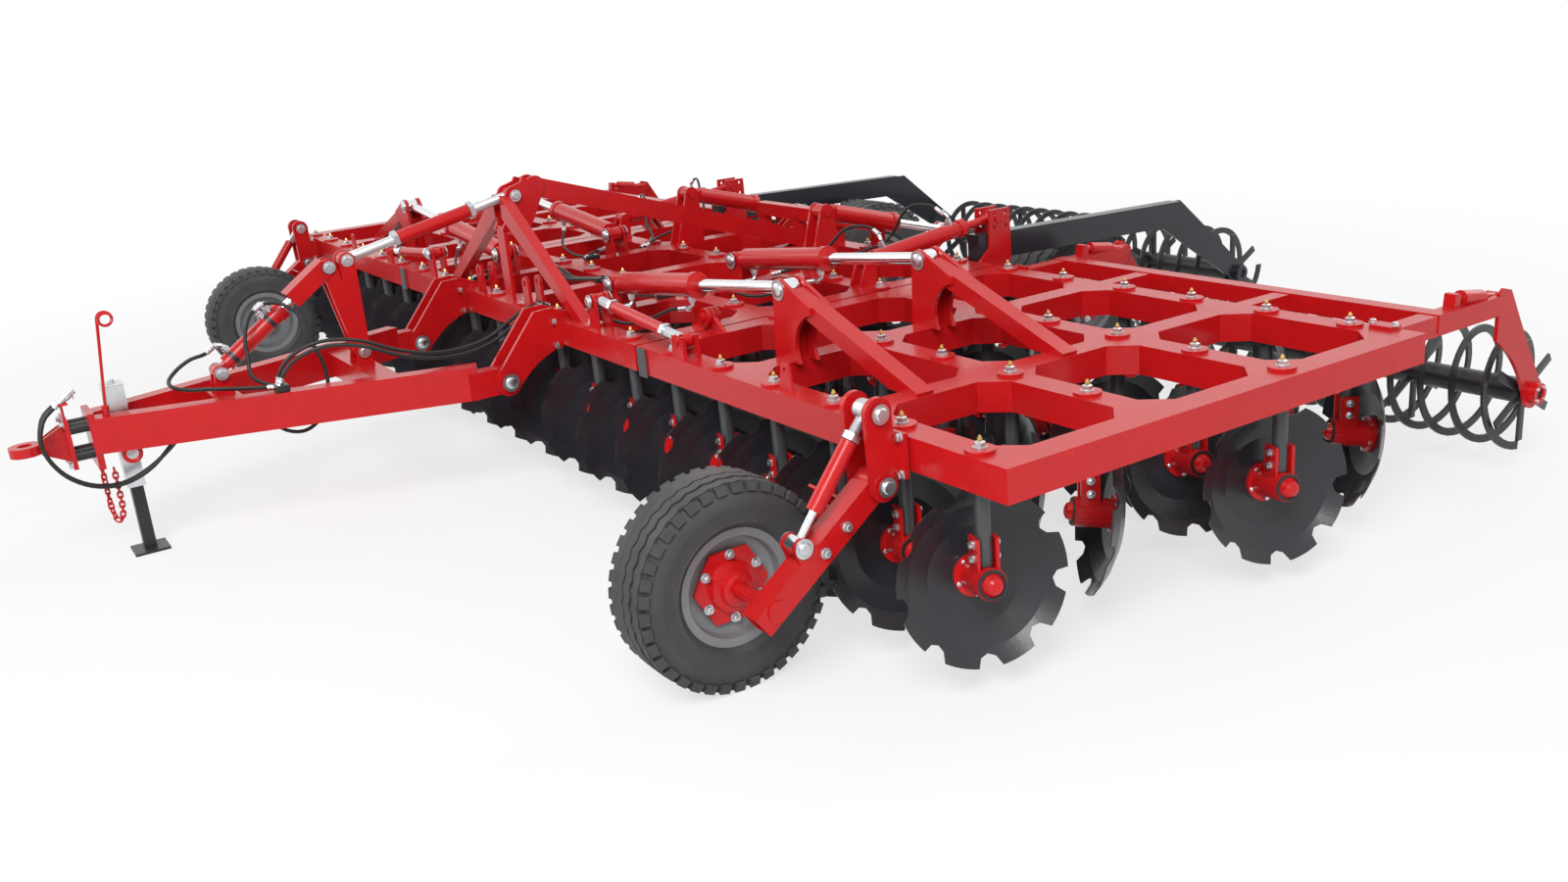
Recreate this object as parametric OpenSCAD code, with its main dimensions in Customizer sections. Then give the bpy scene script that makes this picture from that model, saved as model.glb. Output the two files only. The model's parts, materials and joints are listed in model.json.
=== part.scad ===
// Trailed four-row disc harrow with two folding wings, gauge wheels, transport axle and cage rollers.
// Millimetres, ground at Z = 0, travel towards -Y, the machine's left wing on +X.

/* [Frame] */
// Height of the frame's top above the ground
frame_top = 865; // [820:1:900]
// Side of the square frame beams
beam = 120; // [100:1:130]
// Distance from one row of discs to the next
row_pitch = 680; // [660:1:720]
// Half the width of the open frame
frame_half_w = 3990; // [3985:1:4060]
// Distance of each wing joint from the middle
joint_x = 1550; // [1545:1:1555]
// Gap between a wing's frame and the centre frame
joint_gap = 20; // [12:1:30]
// Corner chamfer of the openings in the frames
corner = 90; // [60:1:120]
// Height of the wing hinge pins above the frame
hinge_rise = 60; // [50:1:80]
// Radius of the wing hinge pins
hinge_pin_r = 20; // [16:1:24]

/* [Discs] */
// Distance between legs in a row
leg_pitch = 400; // [390:1:410]
// Distance from the frame's outer edge to the outermost front leg
edge_room = 190; // [180:1:200]
// Radius of a disc
disc_r = 305; // [280:1:310]
// Hollow of a disc
dish = 85; // [60:1:90]
// Thickness of a disc
disc_t = 6; // [5:0.5:8]
// Notches in a disc's edge
notches = 9; // [8:1:10]
// Radius of a notch
notch_r = 42; // [30:1:46]
// Height of the disc hubs above the ground
hub_z = 415; // [405:1:440]
// Radius of a leg
leg_r = 28; // [24:1:30]
// Angle of the front and third rows to the line of travel
attack_front = 18; // [12:1:22]
// Angle of the second and fourth rows to the line of travel
attack_back = 55; // [50:1:60]
// Lean of the discs
tilt = 8; // [6:1:10]

/* [Drawbar] */
// Distance from the front row to the hitch eye
hitch_reach = 2430; // [2300:1:2600]
// Half the distance between the drawbar's hinge pins
draw_pin_x = 640; // [620:1:660]
// Distance of the drawbar's hinge pins ahead of the front row
draw_pin_y = 350; // [320:1:380]
// Height of the drawbar's hinge pins
draw_z = 605; // [590:1:620]
// Height of the drawbar's beams
draw_h = 170; // [150:1:180]
// Width of the drawbar's beams
draw_w = 90; // [80:1:110]
// Radius of the drawbar's hinge pins
draw_pin_r = 25; // [20:1:28]
// Hole in the hitch eye
eye_bore_r = 30; // [25:1:35]
// Outer radius of the hitch eye
eye_r = 70; // [65:1:80]

/* [Wheels] */
// Radius of a gauge wheel
gauge_r = 385; // [370:1:395]
// Width of a gauge tyre
gauge_w = 250; // [220:1:260]
// Radius of a gauge rim
gauge_rim_r = 215; // [200:1:225]
// Distance of the left gauge wheel from the frame's outer edge
gauge_left_inset = 885; // [870:1:900]
// Distance of the right gauge wheel from the frame's outer edge
gauge_right_inset = 673; // [660:1:690]
// Distance of the gauge axles ahead of the front row
gauge_y = 600; // [590:1:640]
// Radius of a transport wheel
road_r = 435; // [420:1:450]
// Width of a transport tyre
road_w = 400; // [360:1:420]
// Radius of a transport rim
road_rim_r = 210; // [200:1:220]
// Distance of the transport wheels from the middle
road_x = 1010; // [1000:1:1040]
// Distance of the transport wheels behind the front row
road_y = 3150; // [3120:1:3200]

/* [Rollers] */
// Radius of the cage rollers
roller_r = 270; // [250:1:280]
// Distance between turns of the coil
coil_pitch = 150; // [130:1:180]
// Depth of the coiled bar
coil_depth = 36; // [25:1:45]
// Thickness of the coiled bar
coil_t = 12; // [8:1:14]
// Radius of a roller's tube
roller_tube_r = 57; // [45:1:65]
// Distance of the wing rollers behind the front row
wing_roller_y = 3140; // [3110:1:3170]
// Height of the wing rollers' axles while the machine stands on its wheels
wing_roller_z = 370; // [330:1:400]
// Height of the centre roller's axle while the machine stands on its wheels
centre_roller_z = 420; // [370:1:450]
// Distance of the centre roller behind the front row
centre_roller_y = 4300; // [4250:1:4350]
// Half the length of the centre roller
centre_roller_half = 1300; // [1250:1:1320]

/* [Hidden] */
$fn = 48;

red = "firebrick";
dark = "dimgray";
steel = "silver";
black = "black";

// Room between pieces that move or seat on each other
fit = 0.3;
side_gap = 6;
// How far a welded piece runs into the one it is welded to
bite = 4;

// Rows, with the front row placed so that the machine's length is centred
front_reach = hitch_reach + eye_r;
rear_reach = centre_roller_y + roller_r;
row1_y = (front_reach - rear_reach) / 2;
rows = 4;
outer_leg_x = frame_half_w - edge_room;
legs_per_row = 20;
row_shift = [0, -leg_pitch / 2, leg_pitch / 4, -leg_pitch / 4];
right_edge_room = 150;
function row_y(r) = row1_y + r * row_pitch;
function legs_between(r, lo, hi) = [for (k = [0 : legs_per_row - 1])
    let (x = outer_leg_x + row_shift[r] - k * leg_pitch) if (x > lo && x < hi) x];
CENTRE = [-joint_x, joint_x];
LEFT = [joint_x, frame_half_w];
RIGHT = [right_edge_room - frame_half_w, -joint_x];

frame_low = frame_top - beam;
front_face_y = row1_y - beam / 2;
rear_face_y = row_y(rows - 1) + beam / 2;
wing_in = joint_x + joint_gap / 2;
centre_out = joint_x - joint_gap / 2;
centre_rail_x = 740;
wing_span = frame_half_w - wing_in - beam;
wing_inner_rail = wing_in + beam / 2 + 0.3 * wing_span;
wing_mid_rail = wing_in + beam / 2 + 0.65 * wing_span;

// Hubs, measured along the disc's own axis from the leg
housing_r = 55;
housing_front = 60;
housing_back = 85;
flange_r = 75;
flange_t = 14;
cap_r = 40;
cap_len = 25;
hub_flat = 80;
ear_t = 12;
ear_w = 70;
ear_h = 150;
cap_plate_r = 52;
cap_plate_t = 12;

// Fold cylinders
fold_rows = [290, 1020];
fold_base = [centre_rail_x, 127];
fold_eye = [wing_inner_rail, 295];
fold_barrel_r = 55;
fold_rod_r = 28;
fold_barrel_len = 820;
fold_plate_gap = 70;
fold_plate_t = 18;
fold_pin_r = 25;
hinge_y = [row_y(0.5), row_y(2.5)];

// Stop links over the wing joints: eye on the centre frame, cross bar in a fork on the wing, as [x, height]
stop_base = [joint_x - 450, 140];
stop_end = [joint_x + 365, 70];
park_pin = [320, 130];
stop_gap = 50;
stop_pin_r = 18;
stop_bar_r = 16;
stop_rod_r = 17;
stop_tube_r = 28;

// Gauge wheel arm and strut, in the plane of the arm, as [y, z]
gauge_arm_w = 90;
gauge_arm_gap = 145;
gauge_arm_off = gauge_w / 2 + gauge_arm_gap + gauge_arm_w / 2;
gauge_pivot = [row1_y - 155, frame_top - 157];
gauge_axle = [row1_y - gauge_y, gauge_r];
strut_top = [row1_y - 165, frame_top + 100];
strut_low = [row1_y - 480, frame_top - 295];
gauge_pin_r = 20;
strut_r = 30;
strut_rod_r = 16;

// Drawbar lift linkage, as [y, z]
lever_base = [row1_y - draw_pin_y - 500, draw_z + 155];
lever_top = lever_base + [-96, 446];
link_pin = lever_base + [0, 465];
tower_pin = [row1_y + 73, frame_top + 553];
lift_base = lever_base + [-691, 30];
lift_r = 42;
lift_rod_r = 22;
link_r = 24;

// Transport axle, as [y, z]
axle_pivot = [rear_face_y + 130, frame_top - 60];
axle_wheel = [row1_y + road_y, road_r];
axle_horn = [axle_pivot[0] + 180, axle_pivot[1] + 130];
ram_base = [row_y(2) + 200, frame_top + 300];
ram_r = 50;
ram_rod_r = 22;
axle_arm_x = centre_rail_x;

function span(a, b) = sqrt(pow(b[0] - a[0], 2) + pow(b[1] - a[1], 2));
function rise(a, b) = atan2(b[1] - a[1], b[0] - a[0]);

// General shapes

// A round bar along X, from x0 to x1, through the point [y, z]
module cross_bar(x0, x1, at, r) translate([x0, at[0], at[1]]) rotate([0, 90, 0])
    cylinder(r = r, h = x1 - x0);

// A plate across X between x0 and x1 from an outline drawn in Y and Z
module side_plate(x0, x1) translate([x0, 0, 0]) rotate([90, 0, 90]) linear_extrude(x1 - x0) children();

// A plate across Y between y0 and y1 from an outline drawn in X and Z
module front_plate(y0, y1) translate([0, y1, 0]) rotate([90, 0, 0]) linear_extrude(y1 - y0) children();

// A bar outline from a to b with round ends
module bar_outline(a, b, half_w) {
    flank = half_w - 1;
    translate(a) rotate(rise(a, b)) translate([0, -flank]) square([span(a, b), 2 * flank]);
    translate(a) circle(r = half_w);
    translate(b) circle(r = half_w);
}

// A round cut that hollows the edge from a to b by sag, on the right of the way from a to b
module hollow_edge(a, b, sag) {
    half = span(a, b) / 2;
    r = (half * half + sag * sag) / (2 * sag);
    translate((a + b) / 2) rotate(rise(a, b)) translate([0, sag - r]) circle(r = r);
}

// Children drawn along +X are laid from a towards b in the plane of Y and Z
module along_side(x, a, b) translate([x, a[0], a[1]]) rotate([rise(a, b), 0, 0]) rotate([0, 0, 90])
    children();

// Children drawn along +X are laid from a towards b in the plane of X and Z
module along_front(y, a, b) translate([a[0], y, a[1]]) rotate([0, -rise(a, b), 0]) children();

// A hydraulic barrel along +X, its eye and cross pin at the origin with the pin along Y, bored for its rod
module barrel(len, r, neck, pin_r, eye_w, pin_len, rod_r) difference() {
    union() {
        rotate([90, 0, 0]) cylinder(r = pin_r + 16, h = eye_w, center = true);
        rotate([90, 0, 0]) cylinder(r = pin_r, h = pin_len, center = true);
        translate([0, -eye_w / 2, -pin_r]) cube([neck, eye_w, 2 * pin_r]);
        translate([neck, 0, 0]) rotate([0, 90, 0]) cylinder(r = r, h = len - neck);
        translate([len - 40, 0, 0]) rotate([0, 90, 0]) cylinder(r = r + 6, h = 40);
    }
    translate([neck, 0, 0]) rotate([0, 90, 0]) cylinder(r = rod_r + fit, h = len);
}

// A rod along +X from x0 to its eye at reach
module rod(x0, reach, rod_r, pin_r, eye_w) difference() {
    union() {
        translate([x0, 0, 0]) rotate([0, 90, 0]) cylinder(r = rod_r, h = reach - x0 - pin_r);
        translate([reach, 0, 0]) rotate([90, 0, 0]) cylinder(r = pin_r + 14, h = eye_w, center = true);
    }
    translate([reach, 0, 0]) rotate([90, 0, 0]) cylinder(r = pin_r + fit, h = 4 * pin_r, center = true);
}

// Frames

// A rectangular opening with chamfered corners
module opening(x0, x1, y0, y1) polygon([[x0 + corner, y0], [x1 - corner, y0], [x1, y0 + corner],
    [x1, y1 - corner],
    [x1 - corner, y1], [x0 + corner, y1], [x0, y1 - corner], [x0, y0 + corner]]);

// A grid of beams between the outer faces x0 and x1, with rails at the given places between them
module grid_frame(x0, x1, rails) {
    edges = concat([x0 + beam / 2], rails, [x1 - beam / 2]);
    translate([0, 0, frame_low]) linear_extrude(beam) difference() {
        translate([x0, front_face_y]) square([x1 - x0, rear_face_y - front_face_y]);
        for (r = [0 : rows - 2], i = [0 : len(edges) - 2])
            opening(edges[i] + beam / 2, edges[i + 1] - beam / 2, row_y(r) + beam / 2,
                row_y(r + 1) - beam / 2);
    }
}

// The round cover plates above the legs of one section
module leg_covers(section) for (r = [0 : rows - 1], x = legs_between(r, section[0], section[1]))
    translate([x, row_y(r), frame_top]) cylinder(r = cap_plate_r, h = cap_plate_t);

// Children are repeated at every leg of one section, turned to their row's angle
module each_leg(section) for (r = [0 : rows - 1], x = legs_between(r, section[0], section[1]))
    translate([x, row_y(r), 0]) rotate([0, 0, r % 2 == 0 ? -attack_front : attack_back - 180]) children();

module leg() translate([0, 0, hub_z + housing_r + 6])
    cylinder(r = leg_r, h = frame_low - hub_z - housing_r - 6);

// A hub with its axis along +X, its ears clamping the leg
module hub() {
    translate([0, 0, hub_z]) rotate([0, -tilt, 0]) rotate([0, 90, 0]) {
        translate([0, 0, -housing_back]) cylinder(r = housing_r, h = housing_back + housing_front);
        translate([0, 0, -housing_back - flange_t]) cylinder(r = flange_r, h = flange_t);
        translate([0, 0, housing_front]) cylinder(r1 = cap_r, r2 = cap_r - 12, h = cap_len);
    }
    for (s = [-1, 1]) translate([-ear_w / 2, s * (leg_r + fit + ear_t / 2) - ear_t / 2, hub_z + 10])
        cube([ear_w, ear_t, ear_h]);
}

function dish_w(r) = r <= hub_flat ? 0 : dish * pow((r - hub_flat) / (disc_r - hub_flat), 2);

// The edge of a disc with its round notches, larger than the disc between them
module notched_outline() {
    step = 360 / notches;
    out = disc_r + notch_r;
    polygon([for (i = [0 : notches - 1]) each let (a = i * step) concat(
        [[out * cos(a - step / 4), out * sin(a - step / 4)]],
        [for (b = [-100 : -40 : -260]) [disc_r * cos(a) + notch_r * cos(a + b),
                                        disc_r * sin(a) + notch_r * sin(a + b)]],
        [[out * cos(a + step / 4), out * sin(a + step / 4)],
            [out * cos(a + step / 2), out * sin(a + step / 2)]])]);
}

// A dished, notched disc against its hub's flange
module disc() translate([0, 0, hub_z]) rotate([0, -tilt, 0]) rotate([0, 90, 0])
    translate([0, 0, -housing_back - flange_t]) intersection() {
        radii = [0, hub_flat, hub_flat + (disc_r - hub_flat) * 0.4, hub_flat + (disc_r - hub_flat) * 0.75,
            disc_r];
        rotate_extrude() polygon(concat([for (r = radii) [r, dish_w(r)]],
            [for (i = [len(radii) - 1 : -1 : 0]) [radii[i], dish_w(radii[i]) - disc_t]]));
        translate([0, 0, -dish]) linear_extrude(3 * dish) notched_outline();
    }

// Wing hinges: a pair of lugs and their pin on the centre frame, one lug between them on the wing
lug_t = 20;
lug_r = 42;
module hinge_lug(y, x0, x1) front_plate(y - lug_t / 2, y + lug_t / 2) {
    polygon([[x0, frame_top], [x1, frame_top], [joint_x + lug_r * sign(x1 - x0), frame_top + hinge_rise],
             [joint_x - lug_r * sign(x1 - x0), frame_top + hinge_rise]]);
    translate([joint_x, frame_top + hinge_rise]) circle(r = lug_r);
}

module centre_hinges() for (y = hinge_y) {
    for (s = [-1, 1]) hinge_lug(y + s * (lug_t + 5), centre_out - beam, centre_out);
    translate([joint_x, y, frame_top + hinge_rise]) rotate([90, 0, 0])
        cylinder(r = hinge_pin_r, h = 3 * lug_t + 40, center = true);
}

module wing_hinges() for (y = hinge_y) difference() {
    hinge_lug(y, wing_in + beam, wing_in);
    translate([joint_x, y, frame_top + hinge_rise]) rotate([90, 0, 0])
        cylinder(r = hinge_pin_r + fit, h = 2 * lug_t, center = true);
}

// Children drawn in X and Z become a pair of cheeks across Y, gap apart
module cheeks(y, gap) for (s = [-1, 1]) translate([0, y + s * (gap + fold_plate_t) / 2, 0])
    front_plate(-fold_plate_t / 2, fold_plate_t / 2) children();

// A hole across Y at [x, z]
module front_bore(y, at, r) translate([at[0], y, at[1]]) rotate([90, 0, 0])
    cylinder(r = r, h = 4 * beam, center = true);

// A pair of cheeks round a pin at [x, height above the frame]
module pin_bracket(y, pin, half_base, gap, r, pin_r) difference() {
    cheeks(y, gap) {
        polygon([[pin[0] - half_base, frame_top - bite], [pin[0] + half_base, frame_top - bite],
                 [pin[0] + r - 1, frame_top + pin[1]], [pin[0] - r + 1, frame_top + pin[1]]]);
        translate([pin[0], frame_top + pin[1]]) circle(r = r);
    }
    front_bore(y, pin + [0, frame_top], pin_r + fit);
}
module fold_bracket(y) pin_bracket(y, fold_base, 60, fold_plate_gap, 45, fold_pin_r);

// An open fork in which the end of a stop link rests
module stop_fork(y) difference() {
    cheeks(y, stop_gap) polygon([[stop_end[0] - 52, frame_top - bite], [stop_end[0] + 52, frame_top - bite],
        [stop_end[0] + 42, frame_top + stop_end[1] + 24], [stop_end[0] - 42, frame_top + stop_end[1] + 24]]);
    front_bore(y, stop_end + [0, frame_top], stop_bar_r + fit);
    front_plate(y - beam, y + beam) translate([stop_end[0], frame_top + stop_end[1]])
        polygon([[1 - stop_bar_r, 0], [stop_bar_r - 1, 0], [stop_bar_r + 14, 40], [-stop_bar_r - 14, 40]]);
}

// A stop link with its eye, pin, threaded ends, nuts and tube
module stop_link() color(red) along_front(row1_y, stop_base + [0, frame_top], stop_end + [0, frame_top]) {
    reach = span(stop_base, stop_end);
    for (at = [0, reach]) translate([at, 0, 0]) rotate([90, 0, 0])
        cylinder(r = stop_pin_r + 12, h = stop_gap - 2 * side_gap, center = true);
    rotate([90, 0, 0]) cylinder(r = stop_pin_r, h = stop_gap + 2 * fold_plate_t + 16, center = true);
    translate([reach, 0, 0]) rotate([90, 0, 0])
        cylinder(r = stop_bar_r, h = stop_gap + 2 * fold_plate_t + 16, center = true);
    translate([15, 0, 0]) rotate([0, 90, 0]) cylinder(r = stop_rod_r, h = reach - 30);
    translate([170, 0, 0]) rotate([0, 90, 0]) cylinder(r = stop_tube_r, h = reach - 360);
    for (at = [140, reach - 184]) translate([at, 0, 0]) rotate([0, 90, 0])
        cylinder(r = stop_rod_r + 12, h = 24, $fn = 6);
}
module left_stop_link() stop_link();
module right_stop_link() mirror([1, 0, 0]) stop_link();

// The arched plates that carry one hinge of the drawbar, with the flange that clamps them to the front beam
module goose_neck(x) {
    pin = [row1_y - draw_pin_y, draw_z];
    arch = [pin + [50, -46], [front_face_y + bite, frame_low - 20]];
    for (s = [-1, 1]) {
        x0 = x + s * (draw_w / 2 + side_gap + 10) - 10;
        side_plate(x0, x0 + 20) difference() {
            union() {
                polygon([[row1_y + 40, frame_top - bite], [row1_y + 40, frame_top + 22],
                         [front_face_y - 20, frame_top + 62], [row1_y - 175, frame_top + 58],
                             pin + [-48, 48],
                         arch[0], arch[1], [front_face_y + bite, frame_top - bite]]);
                translate(pin) circle(r = 70);
            }
            hollow_edge(arch[0], arch[1], 25);
        }
    }
    translate([x - 100, front_face_y - 16, frame_low - 18]) cube([200, 16 + bite, beam + 30]);
}

// A raised rail on posts over the last row
rail_half = 640;
rail_rise = 110;
rail_h = 80;
module rear_rail() {
    translate([-rail_half, row_y(3) - 35, frame_top + rail_rise]) cube([2 * rail_half, 70, rail_h]);
    for (x = [-rail_half + 40, -200, 200, rail_half - 40])
        translate([x - 30, row_y(3) - 30, frame_top - bite])
        cube([60, 60, rail_rise + 2 * bite]);
}

module centre_frame() color(red) {
    difference() {
        union() {
            grid_frame(-centre_out, centre_out, [-centre_rail_x, 0, centre_rail_x]);
            leg_covers(CENTRE);
            for (s = [0, 1]) mirror([s, 0, 0]) {
                centre_hinges();
                for (d = fold_rows) fold_bracket(row1_y + d);
                for (pin = [stop_base, park_pin]) pin_bracket(row1_y, pin, 40, stop_gap, 34, stop_pin_r);
                goose_neck(draw_pin_x);
                axle_hanger();
                ram_bracket();
                boom_brackets();
                boom_ram_lugs();
            }
            rear_rail();
        }
        for (s = [-1, 1]) cross_bar(s * draw_pin_x - 100, s * draw_pin_x + 100,
            [row1_y - draw_pin_y, draw_z],
                                    draw_pin_r + fit);
        for (s = [-1, 1]) cross_bar(s * axle_arm_x - 100, s * axle_arm_x + 100, axle_pivot,
            axle_pin_r + fit);
        for (s = [-1, 1]) cross_bar(s * axle_arm_x - 100, s * axle_arm_x + 100, ram_base, fold_pin_r + fit);
        for (s = [-1, 1], at = [boom_ram_base, boom_ram_end])
            cross_bar(s * boom_x - 100, s * boom_x + 100, at, boom_pin_r + fit);
    }
}

// Axle hangers behind the last row, and the brackets of the axle's cylinders
axle_pin_r = 30;
axle_arm_w = 80;
module axle_hanger() for (s = [-1, 1]) {
    x0 = axle_arm_x + s * (axle_arm_w / 2 + side_gap + 10) - 10;
    side_plate(x0, x0 + 20) {
        polygon([[rear_face_y, frame_low], [rear_face_y, frame_top], [axle_pivot[0], axle_pivot[1] + 60],
                 [axle_pivot[0], axle_pivot[1] - 60]]);
        translate(axle_pivot) circle(r = 60);
    }
}

module ram_bracket() for (s = [-1, 1]) {
    x0 = axle_arm_x + s * 48 - 8;
    side_plate(x0, x0 + 16) {
        polygon([[ram_base[0] - 130, frame_top], [ram_base[0] + 60, frame_top],
                 [ram_base[0] + 45, ram_base[1]], [ram_base[0] - 45, ram_base[1]]]);
        translate(ram_base) circle(r = 45);
    }
}

// The tower over the front beam with its long stay to the last row
tower_plate_x = 43;
tower_foot = 900;
module front_tower() color(red) {
    for (s = [-1, 1]) {
        side_plate(s * (tower_plate_x + 8) - 8, s * (tower_plate_x + 8) + 8) {
            polygon([[row1_y - 20, frame_top + 380], [row1_y + 150, frame_top + 380],
                     [row1_y + 260, frame_top + 590], [row1_y + 130, frame_top + 640]]);
            bar_outline(tower_pin, [row1_y + 200, frame_top + 590], 50);
        }
        front_plate(row1_y - 8, row1_y + 50) polygon([
            [s * (tower_foot - 110), frame_top], [s * tower_foot, frame_top],
            [s * (tower_plate_x + bite), frame_top + 560], [s * (tower_plate_x + bite), frame_top + 440]]);
    }
    translate([-tower_plate_x - bite, row1_y - 10, frame_top]) cube([2 * (tower_plate_x + bite), 20, 400]);
    cross_bar(-tower_plate_x - 30, tower_plate_x + 30, tower_pin, link_pin_r);
    difference() {
        along_side(0, [row1_y + 190, frame_top + 585], [row_y(3), frame_top - 10])
            translate([0, -tower_plate_x - bite, -50])
            cube([span([row1_y + 190, frame_top + 585], [row_y(3), frame_top - 10]),
                2 * (tower_plate_x + bite), 100]);
        translate([-200, row1_y, frame_top - 400]) cube([400, 4 * row_pitch, 400]);
    }
}

module section_legs(section) color(dark) each_leg(section) leg();
module section_hubs(section) color(red) each_leg(section) hub();
module section_discs(section) color(dark) each_leg(section) disc();

module centre_legs() section_legs(CENTRE);
module centre_hubs() section_hubs(CENTRE);
module centre_discs() section_discs(CENTRE);
module left_legs() section_legs(LEFT);
module left_hubs() section_hubs(LEFT);
module left_discs() section_discs(LEFT);
module right_legs() section_legs(RIGHT);
module right_hubs() section_hubs(RIGHT);
module right_discs() section_discs(RIGHT);

// Wing frames
module wing_frame() color(red) {
    grid_frame(wing_in, frame_half_w, [wing_inner_rail, wing_mid_rail]);
    wing_hinges();
    stop_fork(row1_y);
    wing_tab();
}

// A small drilled tab on the front beam
tab_x = wing_inner_rail + 415;
module wing_tab() difference() {
    front_plate(row1_y - 30, row1_y - 18)
        polygon([[tab_x - 45, frame_top - bite], [tab_x + 45, frame_top - bite],
        [tab_x + 24, frame_top + 110], [tab_x - 24, frame_top + 110]]);
    front_bore(row1_y, [tab_x, frame_top + 85], 11);
}
module left_wing_frame() color(red) {
    wing_frame();
    leg_covers(LEFT);
}
module right_wing_frame() color(red) {
    mirror([1, 0, 0]) wing_frame();
    leg_covers(RIGHT);
}

// Fold uprights: arched cheeks over the wing's inner rail, with a box brace down to the middle rail
cheek_r = 46;
brace_half = 35;
brace_top = [fold_eye[0] + 55, frame_top + fold_eye[1] - 25];
brace_foot = [wing_mid_rail + 40, frame_top - 20];
brace_slope = (brace_foot[1] - brace_top[1]) / (brace_foot[0] - brace_top[0]);
arch_r = 150;
arch_at = [fold_eye[0] + 245, frame_top + 70];
module cheek_outline() difference() {
    tip = [fold_eye[0] + 215, brace_top[1] + 160 * brace_slope + brace_half];
    union() {
        translate(fold_eye + [0, frame_top]) circle(r = cheek_r);
        polygon([[fold_eye[0] - 62, frame_top], [arch_at[0], frame_top], tip,
                 fold_eye + [20, frame_top + cheek_r - 5], fold_eye + [1 - cheek_r, frame_top]]);
    }
    translate(arch_at) circle(r = arch_r);
}
module uprights() color(red) for (d = fold_rows) {
    y = row1_y + d;
    difference() {
        cheeks(y, fold_plate_gap) cheek_outline();
        front_bore(y, fold_eye + [0, frame_top], fold_pin_r + fit);
    }
    difference() {
        along_front(y, brace_top, brace_foot) translate([0, -fold_plate_gap / 2 - bite, -brace_half])
            cube([span(brace_top, brace_foot), fold_plate_gap + 2 * bite, 2 * brace_half]);
        translate([0, row1_y, frame_top - 300]) cube([frame_half_w, 4 * row_pitch, 300]);
    }
    translate([fold_eye[0] + 22, y - fold_plate_gap / 2 - bite, frame_top])
        cube([20, fold_plate_gap + 2 * bite, fold_eye[1] - 90]);
}
module left_uprights() uprights();
module right_uprights() mirror([1, 0, 0]) uprights();

// Fold cylinders, both of a wing on one body
function fold_span() = span(fold_base, fold_eye);
module fold_barrels() color(red) for (d = fold_rows)
    along_front(row1_y + d, fold_base + [0, frame_top], fold_eye + [0, frame_top])
        barrel(fold_barrel_len, fold_barrel_r, 65, fold_pin_r, fold_plate_gap - 2 * side_gap,
               fold_plate_gap + 2 * fold_plate_t + 20, fold_rod_r);
module fold_rods() color(steel) for (d = fold_rows)
    along_front(row1_y + d, fold_base + [0, frame_top], fold_eye + [0, frame_top])
        rod(fold_barrel_len - 70, fold_span(), fold_rod_r, fold_pin_r, fold_plate_gap - 2 * side_gap);
module left_fold_barrels() fold_barrels();
module left_fold_rods() fold_rods();
module right_fold_barrels() mirror([1, 0, 0]) fold_barrels();
module right_fold_rods() mirror([1, 0, 0]) fold_rods();

// Cage rollers

// A flat bar coiled round the X axis from x0 to x1, as one swept solid
module coil(x0, x1, r, steps = 14) {
    turns = (x1 - x0 - coil_t) / coil_pitch;
    n = ceil(turns * steps);
    ring = [[0, r - coil_depth], [coil_t, r - coil_depth], [coil_t, r], [0, r]];
    pts = [for (i = [0 : n], q = ring)
        let (a = 360 * turns * i / n, x = x0 + (x1 - x0 - coil_t) * i / n + q[0])
        [x, q[1] * cos(a), q[1] * sin(a)]];
    sides = [for (i = [0 : n - 1], j = [0 : 3]) let (k = (j + 1) % 4)
        each [[4 * i + j, 4 * i + 4 + k, 4 * i + k], [4 * i + j, 4 * i + 4 + j, 4 * i + 4 + k]]];
    polyhedron(points = pts, faces = concat(sides,
        [[0, 1, 2, 3], [4 * n + 3, 4 * n + 2, 4 * n + 1, 4 * n]]));
}

// A roller with its tube, stub axles, spoke stars and coil, between x0 and x1
module cage_roller(x0, x1, axle) color(black) translate([0, axle[0], axle[1]]) {
    spoke_r = roller_r - coil_depth - fit;
    union() {
        translate([x0, 0, 0]) rotate([0, 90, 0]) cylinder(r = roller_tube_r, h = x1 - x0);
        translate([x0 - 60, 0, 0]) rotate([0, 90, 0]) cylinder(r = axle_stub_r, h = x1 - x0 + 120);
        for (i = [0 : 4], a = [0 : 60 : 120]) translate([x0 + 10 + i * (x1 - x0 - 20) / 4, 0, 0])
            rotate([a, 0, 0])
            translate([-6, -spoke_r, -20]) cube([12, 2 * spoke_r, 40]);
    }
    coil(x0, x1, roller_r);
}
axle_stub_r = 25;
bearing_r = 60;
wing_roller_in = joint_x + 170;
wing_roller_out = frame_half_w - 160;
wing_roller_axle = [row1_y + wing_roller_y, wing_roller_z];
centre_roller_axle = [row1_y + centre_roller_y, centre_roller_z];
end_plate_t = 16;
end_gap = 20;

module centre_roller() cage_roller(-centre_roller_half, centre_roller_half, centre_roller_axle);
module left_roller() cage_roller(wing_roller_in, wing_roller_out, wing_roller_axle);
module right_roller() mirror([1, 0, 0]) cage_roller(wing_roller_in, wing_roller_out, wing_roller_axle);

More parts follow.
